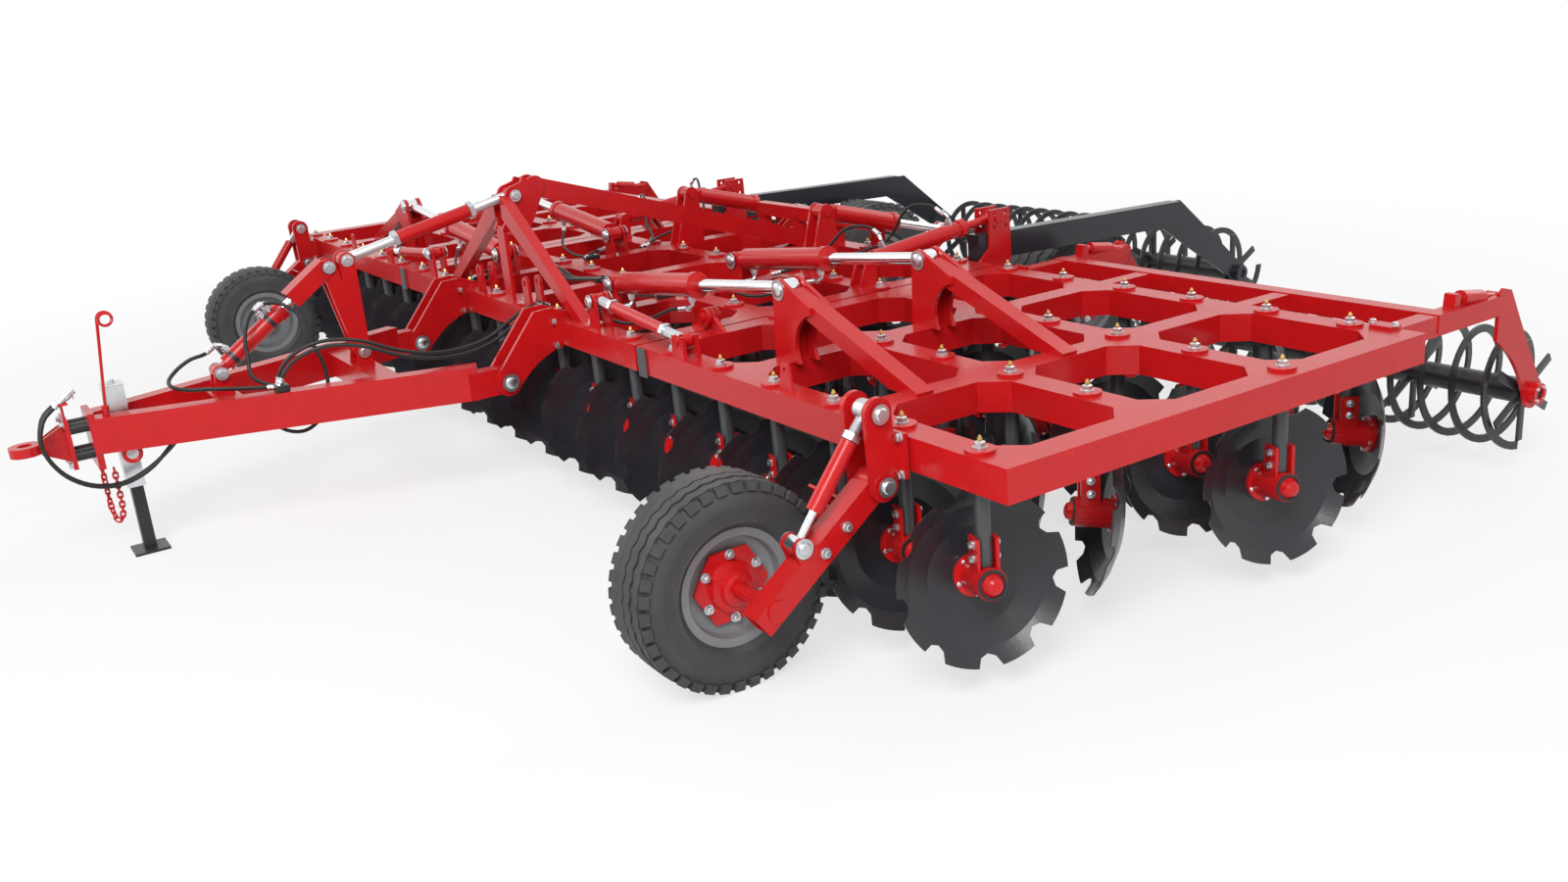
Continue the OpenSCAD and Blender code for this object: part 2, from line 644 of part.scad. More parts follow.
// A wing roller's end plate: straight at the back, hollow at the front, with a boss round the stub axle
module roller_end(x, out) difference() {
    tip = [row1_y + arm_reach, frame_top];
    front = [tip + [-10, -200], wing_roller_axle + [-62, -20]];
    union() {
        side_plate(x, x + end_plate_t) difference() {
            union() {
                polygon([front[0], tip + [-10, 5], tip + [20, 25], tip + [75, 10], tip + [170, -150],
                         wing_roller_axle + [66, 15], front[1]]);
                translate(wing_roller_axle) circle(r = 70);
            }
            hollow_edge(front[0], front[1], 35);
        }
        x0 = out > 0 ? x + end_plate_t - bite : x - boss_len;
        cross_bar(x0, x0 + boss_len + bite, wing_roller_axle, 48);
    }
    cross_bar(x - 80, x + 80, wing_roller_axle, axle_stub_r + fit);
}
boss_len = 34;

// The frame that carries a wing roller: crossbar, arms, end plates, clamps and the depth spindles
bar_y = row_y(3) + 380;
arm_reach = 2830;
arm_w = 80;
spindle_front = [row1_y + 2540, frame_top + 32];
spindle_back = [row1_y + arm_reach + 25, frame_top - 18];
module roller_frame() color(red) {
    translate([wing_roller_in - 40, bar_y - 40, frame_top - 80])
        cube([wing_roller_out - wing_roller_in + 80, 80, 80]);
    for (out = [-1, 1]) {
        x = out < 0 ? wing_roller_in - end_gap - end_plate_t : wing_roller_out + end_gap;
        arm_x = out < 0 ? x : x + end_plate_t - arm_w;
        roller_end(x, out);
        translate([arm_x, rear_face_y, frame_top - 90])
            cube([arm_w, row1_y + arm_reach + 20 - rear_face_y, 86]);
        depth_spindle(x + end_plate_t / 2 - out * (end_plate_t / 2 + 30));
        translate([arm_x - 8, rear_face_y, frame_low - 20]) cube([arm_w + 16, 18, beam + 34]);
        if (out > 0) translate([arm_x - 8, rear_face_y - 50, frame_top]) cube([arm_w + 16, 68, 14]);
    }
    for (x = [wing_inner_rail, wing_mid_rail]) translate([x - arm_w / 2, rear_face_y, frame_top - 88])
        cube([arm_w, bar_y - 20 - rear_face_y, 84]);
}

// A stout threaded spindle above an arm, from its lug to the end plate
module depth_spindle(x) {
    side_plate(x - 26, x + 26) polygon([spindle_front + [-22, -60], spindle_front + [34, -60],
        spindle_front + [14, 22], spindle_front + [-12, 22]]);
    along_side(x, spindle_front, spindle_back) {
        rotate([0, 90, 0]) cylinder(r = 20, h = span(spindle_front, spindle_back));
        translate([60, 0, 0]) rotate([0, 90, 0]) cylinder(r = 34, h = 150);
    }
    cross_bar(x - 34, x + 34, spindle_back, 24);
}
module left_roller_frame() roller_frame();
module right_roller_frame() mirror([1, 0, 0]) roller_frame();

// Booms of the centre roller in their drilled brackets, with slanted end plates and their cylinders
boom_x = centre_out - 184;
boom_w = 90;
boom_h = 140;
boom_drop = 45;
boom_end = 3690;
boom_plate_t = 16;
boom_pin_r = 16;
boom_ram_base = [row_y(2) + 30, frame_top + 118];
boom_ram_end = [rear_face_y + 130, frame_top + 212];
boom_ram_r = 42;
boom_lug_gap = 64;
module boom_brackets() difference() {
    for (s = [-1, 1]) {
        x0 = boom_x + s * (boom_w / 2 + fit + boom_plate_t / 2) - boom_plate_t / 2;
        side_plate(x0, x0 + boom_plate_t)
            polygon([[rear_face_y - bite, frame_low + 10], [rear_face_y - bite, frame_top - 4],
            [rear_face_y + 70, frame_top + 60], [rear_face_y + 80, frame_top + 265],
                [rear_face_y + 220, frame_top + 265],
            [rear_face_y + 225, frame_top - 10], [rear_face_y + 150, frame_low + 10]]);
    }
    for (dy = [110, 190], dz = [170, 240])
        cross_bar(boom_x - 100, boom_x + 100, [rear_face_y + dy, frame_top + dz], 11);
}
module boom_ram_lugs() for (s = [-1, 1]) {
    x0 = boom_x + s * (boom_lug_gap / 2 + 8) - 8;
    side_plate(x0, x0 + 16) {
        polygon([[boom_ram_base[0] - 80, frame_top - bite], [row_y(2) + beam / 2 - 5, frame_top - bite],
                 boom_ram_base + [33, 0], boom_ram_base + [-33, 0]]);
        translate(boom_ram_base) circle(r = 34);
    }
}
module boom_rams() color(red) for (s = [-1, 1]) along_side(s * boom_x, boom_ram_base, boom_ram_end) {
    reach = span(boom_ram_base, boom_ram_end);
    barrel(reach - 190, boom_ram_r, 50, boom_pin_r, boom_lug_gap - 2 * side_gap, boom_lug_gap + 44, 1);
    translate([reach - 200, 0, 0]) rotate([0, 90, 0]) cylinder(r = 22, h = 190);
    for (e = [[30, boom_w - 2 * side_gap], [boom_pin_r, boom_w + 2 * boom_plate_t + 24]])
        translate([reach, 0, 0]) rotate([90, 0, 0]) cylinder(r = e[0], h = e[1], center = true);
}
module roller_booms() for (s = [0, 1]) mirror([s, 0, 0]) color(dark) {
    axle = centre_roller_axle;
    plate_x = centre_roller_half + end_gap;
    tail = [row1_y + boom_end, frame_top + boom_h - boom_drop];
    side_plate(boom_x - boom_w / 2, boom_x + boom_w / 2) polygon([[rear_face_y + 10, frame_top],
        [rear_face_y + 10, frame_top + boom_h], tail, tail - [0, boom_h]]);
    translate([min(boom_x, plate_x), tail[0] - 110, tail[1] - boom_h + 15])
        cube([abs(boom_x - plate_x) + end_plate_t, 90, boom_h - 30]);
    difference() {
        union() {
            side_plate(plate_x, plate_x + end_plate_t) {
                polygon([tail + [-90, -6], tail + [70, -6], axle + [62, 26], axle + [-62, -26],
                    tail + [-110, -boom_h + 6]]);
                translate(axle) circle(r = 70);
            }
            cross_bar(plate_x + end_plate_t - bite, plate_x + end_plate_t + boss_len, axle, 48);
        }
        cross_bar(plate_x - 50, plate_x + 100, axle, axle_stub_r + fit);
    }
}

// Gauge wheels: bracket, arm, strut and wheel of the left wing at the arm's own X
gauge_left_x = frame_half_w - gauge_left_inset;
gauge_right_x = frame_half_w - gauge_right_inset;
left_arm_x = gauge_left_x + gauge_arm_off;
right_arm_x = gauge_right_x + gauge_arm_off;

module gauge_bracket(x) color(red) difference() {
    union() {
        for (s = [-1, 1]) {
            x0 = x + s * (gauge_arm_w / 2 + side_gap + 10) - 10;
            side_plate(x0, x0 + 20) {
                bar_outline(gauge_pivot, strut_top, 55);
                polygon([[gauge_pivot[0], frame_low - 16], [front_face_y - 20, frame_low - 16],
                         [front_face_y - 20, frame_top + 12], [strut_top[0], frame_top + 40]]);
            }
        }
        translate([x - 104, front_face_y - 36, frame_low - 20]) cube([208, 20, beam + 40]);
        translate([x - 88, front_face_y - 20, frame_low - 8]) cube([176, 20, beam + 16]);
    }
    cross_bar(x - 200, x + 200, gauge_pivot, gauge_pin_r + fit);
    cross_bar(x - 200, x + 200, strut_top, gauge_pin_r + fit);
}

// A square-tube arm, open at its lower end, with the strut's lugs and a scraper for the tyre
arm_tail = 75;
tube_wall = 8;
scraper_at = 110;
scraper_t = 10;
module along_arm(x) along_side(x, gauge_pivot, gauge_axle) children();
module gauge_arm(x) color(red) {
    half = gauge_arm_w / 2;
    reach = span(gauge_pivot, gauge_axle);
    difference() {
        union() {
            cross_bar(x - half + 2, x + half - 2, gauge_pivot, half + 3);
            along_arm(x) translate([0, -half, -half + 1])
                cube([reach + arm_tail, gauge_arm_w, gauge_arm_w - 2]);
            along_arm(x) translate([scraper_at, half - bite, -half + 3])
                cube([scraper_t, gauge_arm_gap + bite + 25, gauge_arm_w - 6]);
            cross_bar(x - half - side_gap - 30, x + half + side_gap + 30, gauge_pivot, gauge_pin_r);
            cross_bar(x + half - bite, x + half + 8, gauge_axle, 38);
            for (s = [-1, 1]) side_plate(x + s * 36 - 8, x + s * 36 + 8)
                bar_outline(strut_low, strut_low + [20, -60], 34);
        }
        cross_bar(x - 100, x + 100, strut_low, gauge_pin_r + fit);
        along_arm(x) translate([reach + 42, tube_wall - half, tube_wall - half])
            cube([arm_tail, gauge_arm_w - 2 * tube_wall, gauge_arm_w - 2 * tube_wall]);
    }
    cross_bar(x - half - gauge_arm_gap - gauge_w, x, gauge_axle, hub_axle_r);
}
hub_axle_r = 30;

// The strut is a turnbuckle: eye, threaded neck, nut and tube, bored for its lower rod
module gauge_barrel(x) color(red) along_side(x, strut_top, strut_low) difference() {
    union() {
        rotate([90, 0, 0]) cylinder(r = gauge_pin_r + 16, h = 50, center = true);
        rotate([90, 0, 0]) cylinder(r = gauge_pin_r, h = gauge_arm_w + 2 * side_gap + 60, center = true);
        rotate([0, 90, 0]) cylinder(r = strut_rod_r + 2, h = 140);
        translate([92, 0, 0]) rotate([0, 90, 0]) cylinder(r = strut_rod_r + 14, h = 22, $fn = 6);
        translate([120, 0, 0]) rotate([0, 90, 0]) cylinder(r = strut_r, h = strut_len - 120);
    }
    translate([160, 0, 0]) rotate([0, 90, 0]) cylinder(r = strut_rod_r + fit, h = strut_len);
}
strut_len = 380;
module gauge_rod(x) color(steel) along_side(x, strut_top, strut_low)
    rod(strut_len - 60, span(strut_top, strut_low), strut_rod_r, gauge_pin_r, 50);

// A tyre with round shoulders, its axle along X
shoulder = 55;
module tyre(r, w, rim_r) rotate([0, 90, 0]) rotate_extrude($fn = 72) polygon(concat(
    [[rim_r + fit, -w / 2 + 30], [rim_r + 22, -w / 2 + 9]],
    [for (a = [0 : 15 : 90]) [r - shoulder + shoulder * sin(a), -w / 2 + shoulder - shoulder * cos(a)]],
    [for (a = [90 : -15 : 0]) [r - shoulder + shoulder * sin(a), w / 2 - shoulder + shoulder * cos(a)]],
    [[rim_r + 22, w / 2 - 9], [rim_r + fit, w / 2 - 30]]));

// A dished rim with its hub, bored for the axle
module rim(rim_r, w, axle_r) rotate([0, 90, 0]) rotate_extrude()
    polygon([[axle_r + fit, -w / 2 + 30], [75, -w / 2 + 30],
    [75, -w / 2 + 90], [rim_r - 40, -w / 2 + 90], [rim_r - 30, -w / 2 + 30], [rim_r, -w / 2 + 26],
        [rim_r, w / 2 - 26],
    [rim_r - 30, w / 2 - 30], [rim_r - 40, w / 2 - 60], [75, w / 2 - 90], [75, w / 2 - 40],
        [axle_r + fit, w / 2 - 40]]);

module gauge_wheel_at(x) translate([x, gauge_axle[0], gauge_axle[1]]) children();
module left_gauge_bracket() gauge_bracket(left_arm_x);
module left_gauge_arm() gauge_arm(left_arm_x);
module left_gauge_barrel() gauge_barrel(left_arm_x);
module left_gauge_rod() gauge_rod(left_arm_x);
module left_gauge_tyre() color(black) gauge_wheel_at(gauge_left_x) tyre(gauge_r, gauge_w, gauge_rim_r);
module left_gauge_rim() color(steel) gauge_wheel_at(gauge_left_x) rim(gauge_rim_r, gauge_w, hub_axle_r);
module right_gauge_bracket() mirror([1, 0, 0]) gauge_bracket(right_arm_x);
module right_gauge_arm() mirror([1, 0, 0]) gauge_arm(right_arm_x);
module right_gauge_barrel() mirror([1, 0, 0]) gauge_barrel(right_arm_x);
module right_gauge_rod() mirror([1, 0, 0]) gauge_rod(right_arm_x);
module right_gauge_tyre() color(black) gauge_wheel_at(-gauge_right_x) tyre(gauge_r, gauge_w, gauge_rim_r);
module right_gauge_rim() color(steel) mirror([1, 0, 0]) gauge_wheel_at(gauge_right_x)
    rim(gauge_rim_r, gauge_w, hub_axle_r);

// Drawbar
nose_y = row1_y - hitch_reach + 290;
buffer_len = 80;
buffer_r = 26;
nose_half = 70;
draw_mid = draw_z + 20;
draw_tail = [draw_pin_x, row1_y - draw_pin_y - 130];
module draw_beam() {
    nose = [nose_half, nose_y];
    translate([nose[0], nose[1], draw_mid]) rotate([0, 0, rise(nose, draw_tail)])
        translate([0, -draw_w / 2, -draw_h / 2])
        cube([span(nose, draw_tail), draw_w, draw_h]);
    translate([draw_pin_x - draw_w / 2, draw_tail[1] - 60, draw_z - 60]) cube([draw_w, 190, 130]);
}
function beam_x(y) = nose_half + (draw_pin_x - nose_half) * (y - nose_y) / (draw_tail[1] - nose_y);

module draw_cross(y) translate([-beam_x(y), y - 60, draw_mid - 60]) cube([2 * beam_x(y), 120, 120]);

module drawbar() color(red) difference() {
    union() {
        for (s = [0, 1]) mirror([s, 0, 0]) {
            draw_beam();
            cross_bar(draw_pin_x - draw_w / 2, draw_pin_x + draw_w / 2, [row1_y - draw_pin_y, draw_z], 65);
            cross_bar(draw_pin_x - draw_w / 2 - 45, draw_pin_x + draw_w / 2 + 45,
                [row1_y - draw_pin_y, draw_z], draw_pin_r);
            draw_lugs(lever_base, 53);
            draw_lugs(lift_base, 40);
        }
        draw_cross(lever_base[0]);
        draw_cross(lift_base[0]);
        translate([-nose_half - 40, nose_y - 20, draw_z - 140]) cube([2 * nose_half + 80, 30, 270]);
        translate([-nose_half - 30, nose_y, draw_z - 70]) cube([2 * nose_half + 60, 60, 140]);
        translate([-beam_x(jack_y), jack_y + jack_half, draw_z - 50]) cube([2 * beam_x(jack_y), 20, 120]);
    }
    cross_bar(-200, 200, lever_base, link_pin_r + fit);
    cross_bar(-200, 200, lift_base, link_pin_r + fit);
}
link_pin_r = 18;
module draw_lugs(pin, gap) side_plate(gap, gap + 16) {
    polygon([[pin[0] - 50, draw_z + 50], [pin[0] + 50, draw_z + 50], pin + [32, 0], pin + [-32, 0]]);
    translate(pin) circle(r = 32);
}

// The hitch eye on its gusseted flange, bolted to the nose
module hitch_eye() color(red) difference() {
    eye_y = row1_y - hitch_reach;
    flange_y = nose_y - 20 - buffer_len;
    union() {
        translate([0, eye_y, draw_z - 22]) cylinder(r = eye_r, h = 44);
        translate([-35, eye_y + 40, draw_z - 21]) cube([70, flange_y - 10 - eye_y - 40, 42]);
        for (s = [-1, 1]) side_plate(s * 24 - 8, s * 24 + 8) polygon([[eye_y + eye_r - 12, draw_z - 30],
            [eye_y + eye_r - 12, draw_z + 30], [flange_y - 10, draw_z + 95], [flange_y - 10, draw_z - 95]]);
        translate([-nose_half - 15, flange_y - 20, draw_z - 120]) cube([2 * nose_half + 30, 20, 240]);
    }
    translate([0, eye_y, draw_z - 50]) cylinder(r = eye_bore_r, h = 100);
}

// Buffers between the hitch eye's flange and the nose plate
module hitch_buffers() color(black) for (x = [-45, 45], z = [draw_z - 65, draw_z + 65])
    translate([x, nose_y - 20, z]) rotate([90, 0, 0]) cylinder(r = buffer_r, h = buffer_len);

// Parking jack between the beams behind the nose
jack_half = 40;
jack_leg_half = 28;
jack_y = nose_y + 125;
jack_low = 330;
jack_top = frame_top - 35;
module jack_tube() color(steel) difference() {
    union() {
        translate([-jack_half, jack_y - jack_half, jack_low])
            cube([2 * jack_half, 2 * jack_half, jack_top - 80 - jack_low]);
        translate([-jack_half - 10, jack_y - jack_half - 10, jack_top - 100])
            cube([2 * jack_half + 20, 2 * jack_half + 10, 100]);
    }
    translate([-jack_leg_half - fit, jack_y - jack_leg_half - fit, jack_low - 20])
        cube([2 * (jack_leg_half + fit), 2 * (jack_leg_half + fit), jack_top - jack_low - 40]);
}
module jack_leg() color(black) {
    translate([-jack_leg_half, jack_y - jack_leg_half, 8])
        cube([2 * jack_leg_half, 2 * jack_leg_half, jack_low + 60]);
    translate([-80, jack_y - 80, 0]) cube([160, 160, 12]);
}

// Lever, cylinder and top link that set the drawbar's angle
module lift_lever() color(red) {
    difference() {
        union() {
            for (s = [-1, 1]) side_plate(s * 42 - 6, s * 42 + 6) {
                bar_outline(lever_base, link_pin, 40);
                bar_outline(lever_base, lever_top, 40);
            }
            cross_bar(-42, 42, lever_base, 34);
        }
        cross_bar(-100, 100, lever_top, link_pin_r + fit);
        cross_bar(-100, 100, link_pin, link_pin_r + fit);
    }
    cross_bar(-75, 75, lever_base, link_pin_r);
}
lift_barrel_len = 430;
module lift_barrel() color(red) along_side(0, lift_base, lever_top)
    barrel(lift_barrel_len, lift_r, 50, link_pin_r, 60, 140, lift_rod_r);
module lift_rod() color(steel) along_side(0, lift_base, lever_top)
    rod(lift_barrel_len - 170, span(lift_base, lever_top), lift_rod_r, link_pin_r, 60);
module top_link() color(red) along_side(0, tower_pin, link_pin) difference() {
    union() {
        rotate([90, 0, 0]) cylinder(r = 38, h = 76, center = true);
        translate([25, 0, 0]) rotate([0, 90, 0]) cylinder(r = link_r, h = span(tower_pin, link_pin) - 50);
        translate([250, 0, 0]) rotate([0, 90, 0]) cylinder(r = 36, h = 400);
        translate([span(tower_pin, link_pin), 0, 0]) rotate([90, 0, 0])
            cylinder(r = 36, h = 60, center = true);
    }
    translate([span(tower_pin, link_pin), 0, 0]) rotate([90, 0, 0])
        cylinder(r = link_pin_r + fit, h = 100, center = true);
    rotate([90, 0, 0]) cylinder(r = link_pin_r + fit, h = 100, center = true);
}

// Transport axle with its two arms, beam, spindles and horns
module axle() color(red) difference() {
    union() {
        for (s = [-1, 1]) {
            side_plate(s * axle_arm_x - axle_arm_w / 2, s * axle_arm_x + axle_arm_w / 2)
                bar_outline(axle_pivot, axle_wheel, 55);
            for (t = [-1, 1]) side_plate(s * axle_arm_x + t * 31 - 6, s * axle_arm_x + t * 31 + 6)
                bar_outline(axle_pivot, axle_horn, 42);
            cross_bar(s * axle_arm_x - axle_arm_w / 2 - side_gap - 25,
                s * axle_arm_x + axle_arm_w / 2 + side_gap + 25,
                      axle_pivot, axle_pin_r);
        }
        cross_bar(-road_x - road_w / 2, road_x + road_w / 2, axle_wheel, hub_axle_r);
        cross_bar(-axle_arm_x, axle_arm_x, axle_wheel, 50);
    }
    cross_bar(-frame_half_w, frame_half_w, axle_horn, fold_pin_r + fit);
}
ram_len = 520;
module axle_barrels() color(red) for (s = [-1, 1]) along_side(s * axle_arm_x, ram_base, axle_horn)
    barrel(ram_len, ram_r, 75, fold_pin_r, 70, 130, ram_rod_r);
module axle_rods() color(steel) for (s = [-1, 1]) along_side(s * axle_arm_x, ram_base, axle_horn)
    rod(ram_len - 200, span(ram_base, axle_horn), ram_rod_r, fold_pin_r, 40);

module road_wheel_at(x) translate([x, axle_wheel[0], axle_wheel[1]]) children();
module left_road_tyre() color(black) road_wheel_at(road_x) tyre(road_r, road_w, road_rim_r);
module left_road_rim() color(steel) road_wheel_at(road_x) rim(road_rim_r, road_w, hub_axle_r);
module right_road_tyre() color(black) road_wheel_at(-road_x) tyre(road_r, road_w, road_rim_r);
module right_road_rim() color(steel) mirror([1, 0, 0]) road_wheel_at(road_x)
    rim(road_rim_r, road_w, hub_axle_r);

centre_frame();
front_tower();
centre_legs();
centre_hubs();
centre_discs();
roller_booms();
centre_roller();
left_wing_frame();
left_legs();
left_hubs();
left_discs();
left_uprights();
left_roller_frame();
left_roller();
right_wing_frame();
right_legs();
right_hubs();
right_discs();
right_uprights();
right_roller_frame();
right_roller();
left_fold_barrels();
left_fold_rods();
right_fold_barrels();
right_fold_rods();
left_gauge_bracket();
left_gauge_arm();
left_gauge_barrel();
left_gauge_rod();
left_gauge_tyre();
left_gauge_rim();
right_gauge_bracket();
right_gauge_arm();
right_gauge_barrel();
right_gauge_rod();
right_gauge_tyre();
right_gauge_rim();
drawbar();
hitch_eye();
jack_tube();
jack_leg();
lift_lever();
lift_barrel();
lift_rod();
top_link();
axle();
axle_barrels();
axle_rods();
left_road_tyre();
left_road_rim();
right_road_tyre();
right_road_rim();
hitch_buffers();
boom_rams();
left_stop_link();
right_stop_link();
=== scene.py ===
"""Studio scene of a trailed disc harrow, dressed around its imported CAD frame.

The frame gives every rigid solid. This script gives each one its finish, swaps the tyres and cage rollers
for finer ones, and adds what is too small or too soft for the solids: fasteners, grease nipples, hub caps,
hoses and their clips. The channel over the lift rod is added here too.
"""
from __future__ import annotations

import json
import logging
import math
from dataclasses import dataclass, field
from enum import Enum
from typing import Any, Iterable, Sequence

import bmesh
import bpy
from mathutils import Matrix, Quaternion, Vector
from mathutils.geometry import interpolate_bezier

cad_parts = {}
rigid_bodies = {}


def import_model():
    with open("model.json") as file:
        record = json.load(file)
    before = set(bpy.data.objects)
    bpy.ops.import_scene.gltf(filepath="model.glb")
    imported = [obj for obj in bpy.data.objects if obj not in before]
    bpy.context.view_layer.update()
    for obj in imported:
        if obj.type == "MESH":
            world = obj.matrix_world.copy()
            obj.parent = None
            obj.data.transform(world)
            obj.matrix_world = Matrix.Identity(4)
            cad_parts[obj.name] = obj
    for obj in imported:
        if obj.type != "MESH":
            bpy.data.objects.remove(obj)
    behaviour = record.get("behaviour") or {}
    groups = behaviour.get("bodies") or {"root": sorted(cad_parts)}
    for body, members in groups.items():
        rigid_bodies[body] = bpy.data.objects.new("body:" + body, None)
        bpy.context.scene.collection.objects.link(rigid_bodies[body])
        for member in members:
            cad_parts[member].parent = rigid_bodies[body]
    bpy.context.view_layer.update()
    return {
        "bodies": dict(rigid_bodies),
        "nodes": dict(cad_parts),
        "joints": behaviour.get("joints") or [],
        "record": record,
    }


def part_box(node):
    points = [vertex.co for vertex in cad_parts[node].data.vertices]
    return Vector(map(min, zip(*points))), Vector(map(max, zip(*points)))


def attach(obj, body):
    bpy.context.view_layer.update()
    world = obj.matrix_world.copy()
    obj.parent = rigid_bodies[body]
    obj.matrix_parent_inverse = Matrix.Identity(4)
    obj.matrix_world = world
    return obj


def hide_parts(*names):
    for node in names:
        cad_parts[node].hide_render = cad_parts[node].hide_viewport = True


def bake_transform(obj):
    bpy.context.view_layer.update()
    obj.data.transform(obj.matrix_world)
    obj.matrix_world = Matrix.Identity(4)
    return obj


LOG = logging.getLogger("disc_harrow")

# Sockets of a Mix node set to colours
MIX_FACTOR, MIX_FIRST, MIX_SECOND, MIX_RESULT = 0, 6, 7, 2

Point = tuple[float, float, float]
Colour = tuple[float, float, float]
Profile = Sequence[tuple[float, float]]

# Directions: across the machine to its left, along it to the back, forward, and up
ACROSS = Vector((1, 0, 0)).freeze()
ALONG = Vector((0, 1, 0)).freeze()
FORWARD = Vector((0, -1, 0)).freeze()
UPWARD = Vector((0, 0, 1)).freeze()
SIDES = (("left", 1), ("right", -1))

# Places that several classes share: beam tops, goose necks, and eyes as seen from the lever's pivot
FRAME_TOP = 0.865
NECK_X = 0.640
LIFT_EYE: Point = (0.0, -0.096, 0.446)
TOP_LINK_EYE: Point = (0.0, 0.0, 0.465)
ROD_COVER_HALF = 0.0555
THICK_HOSE, THIN_HOSE = 0.019, 0.016

# Shading and welding
SMOOTH_ANGLE, TREAD_ANGLE = math.radians(40), math.radians(32)
WELD = 1e-5
COAT_ROUGHNESS, DUST_ROUGHNESS, BUMP_STRENGTH = 0.08, 0.4, 0.6

# A bolt's proportions, as shares of half the head's width across corners
WASHER_RADIUS, WASHER_TALL = 1.25, 0.25
HEAD_TALL, CROWN_TALL = 0.75, 0.9
CROWN_RADII = (0.86, 0.62)


class Slot(Enum):
    """The record's material slots."""

    RED = "red_paint"
    DARK = "dark_paint"
    BLACK = "black_paint"
    DISC = "disc_steel"
    CHROME = "chrome_rod"
    ZINC = "zinc_steel"
    RIM = "rim_paint"
    TYRE = "tyre_rubber"


class Section(Enum):
    """The three sections of the frame: their node prefix and the body that carries them."""

    LEFT = ("left", "left_wing")
    CENTRE = ("centre", "centre")
    RIGHT = ("right", "right_wing")

    @property
    def prefix(self) -> str:
        """The first word of the section's node names."""
        return self.value[0]

    @property
    def body(self) -> str:
        """The body that the section's pieces ride on."""
        return self.value[1]


# Shader groups


def new_group(
    name: str, inputs: dict[str, float | Colour], outputs: Sequence[str]
) -> bpy.types.NodeTree:
    """Starts a shader node group with its sockets.

    Args:
        name: The group's name.
        inputs: Input names with their default numbers or colours.
        outputs: Output names; one that ends in "Colour" is a colour.

    Returns:
        The empty group, with its input and output nodes placed.
    """
    tree = bpy.data.node_groups.new(name, "ShaderNodeTree")
    for key, value in inputs.items():
        kind = "NodeSocketColor" if isinstance(value, tuple) else "NodeSocketFloat"
        socket = tree.interface.new_socket(name=key, in_out="INPUT", socket_type=kind)
        socket.default_value = (*value, 1.0) if isinstance(value, tuple) else value
    for key in outputs:
        kind = "NodeSocketColor" if key.endswith("Colour") else "NodeSocketFloat"
        tree.interface.new_socket(name=key, in_out="OUTPUT", socket_type=kind)
    tree.nodes.new("NodeGroupInput").name = "in"
    tree.nodes.new("NodeGroupOutput").name = "out"
    return tree


def add_node(tree: bpy.types.NodeTree, kind: str, **settings: Any) -> bpy.types.Node:
    """Adds a node and sets its attributes, or its inputs where the key names one.

    Args:
        tree: The tree that gets the node.
        kind: The node's type, without the "ShaderNode" in front.
        settings: Attribute or input values; an underscore in an input's name stands for a space.

    Returns:
        The new node.
    """
    node = tree.nodes.new("ShaderNode" + kind)
    for key, value in settings.items():
        if hasattr(node, key):
            setattr(node, key, value)
        else:
            node.inputs[key.replace("_", " ")].default_value = value
    return node


def ramp_between(tree: bpy.types.NodeTree, low: float, high: float) -> bpy.types.Node:
    """Adds a Map Range node that turns low..high into 0..1.

    Args:
        tree: The tree that gets the node.
        low: The value that gives 0.
        high: The value that gives 1.

    Returns:
        The new node.
    """
    return add_node(tree, "MapRange", From_Min=low, From_Max=high)


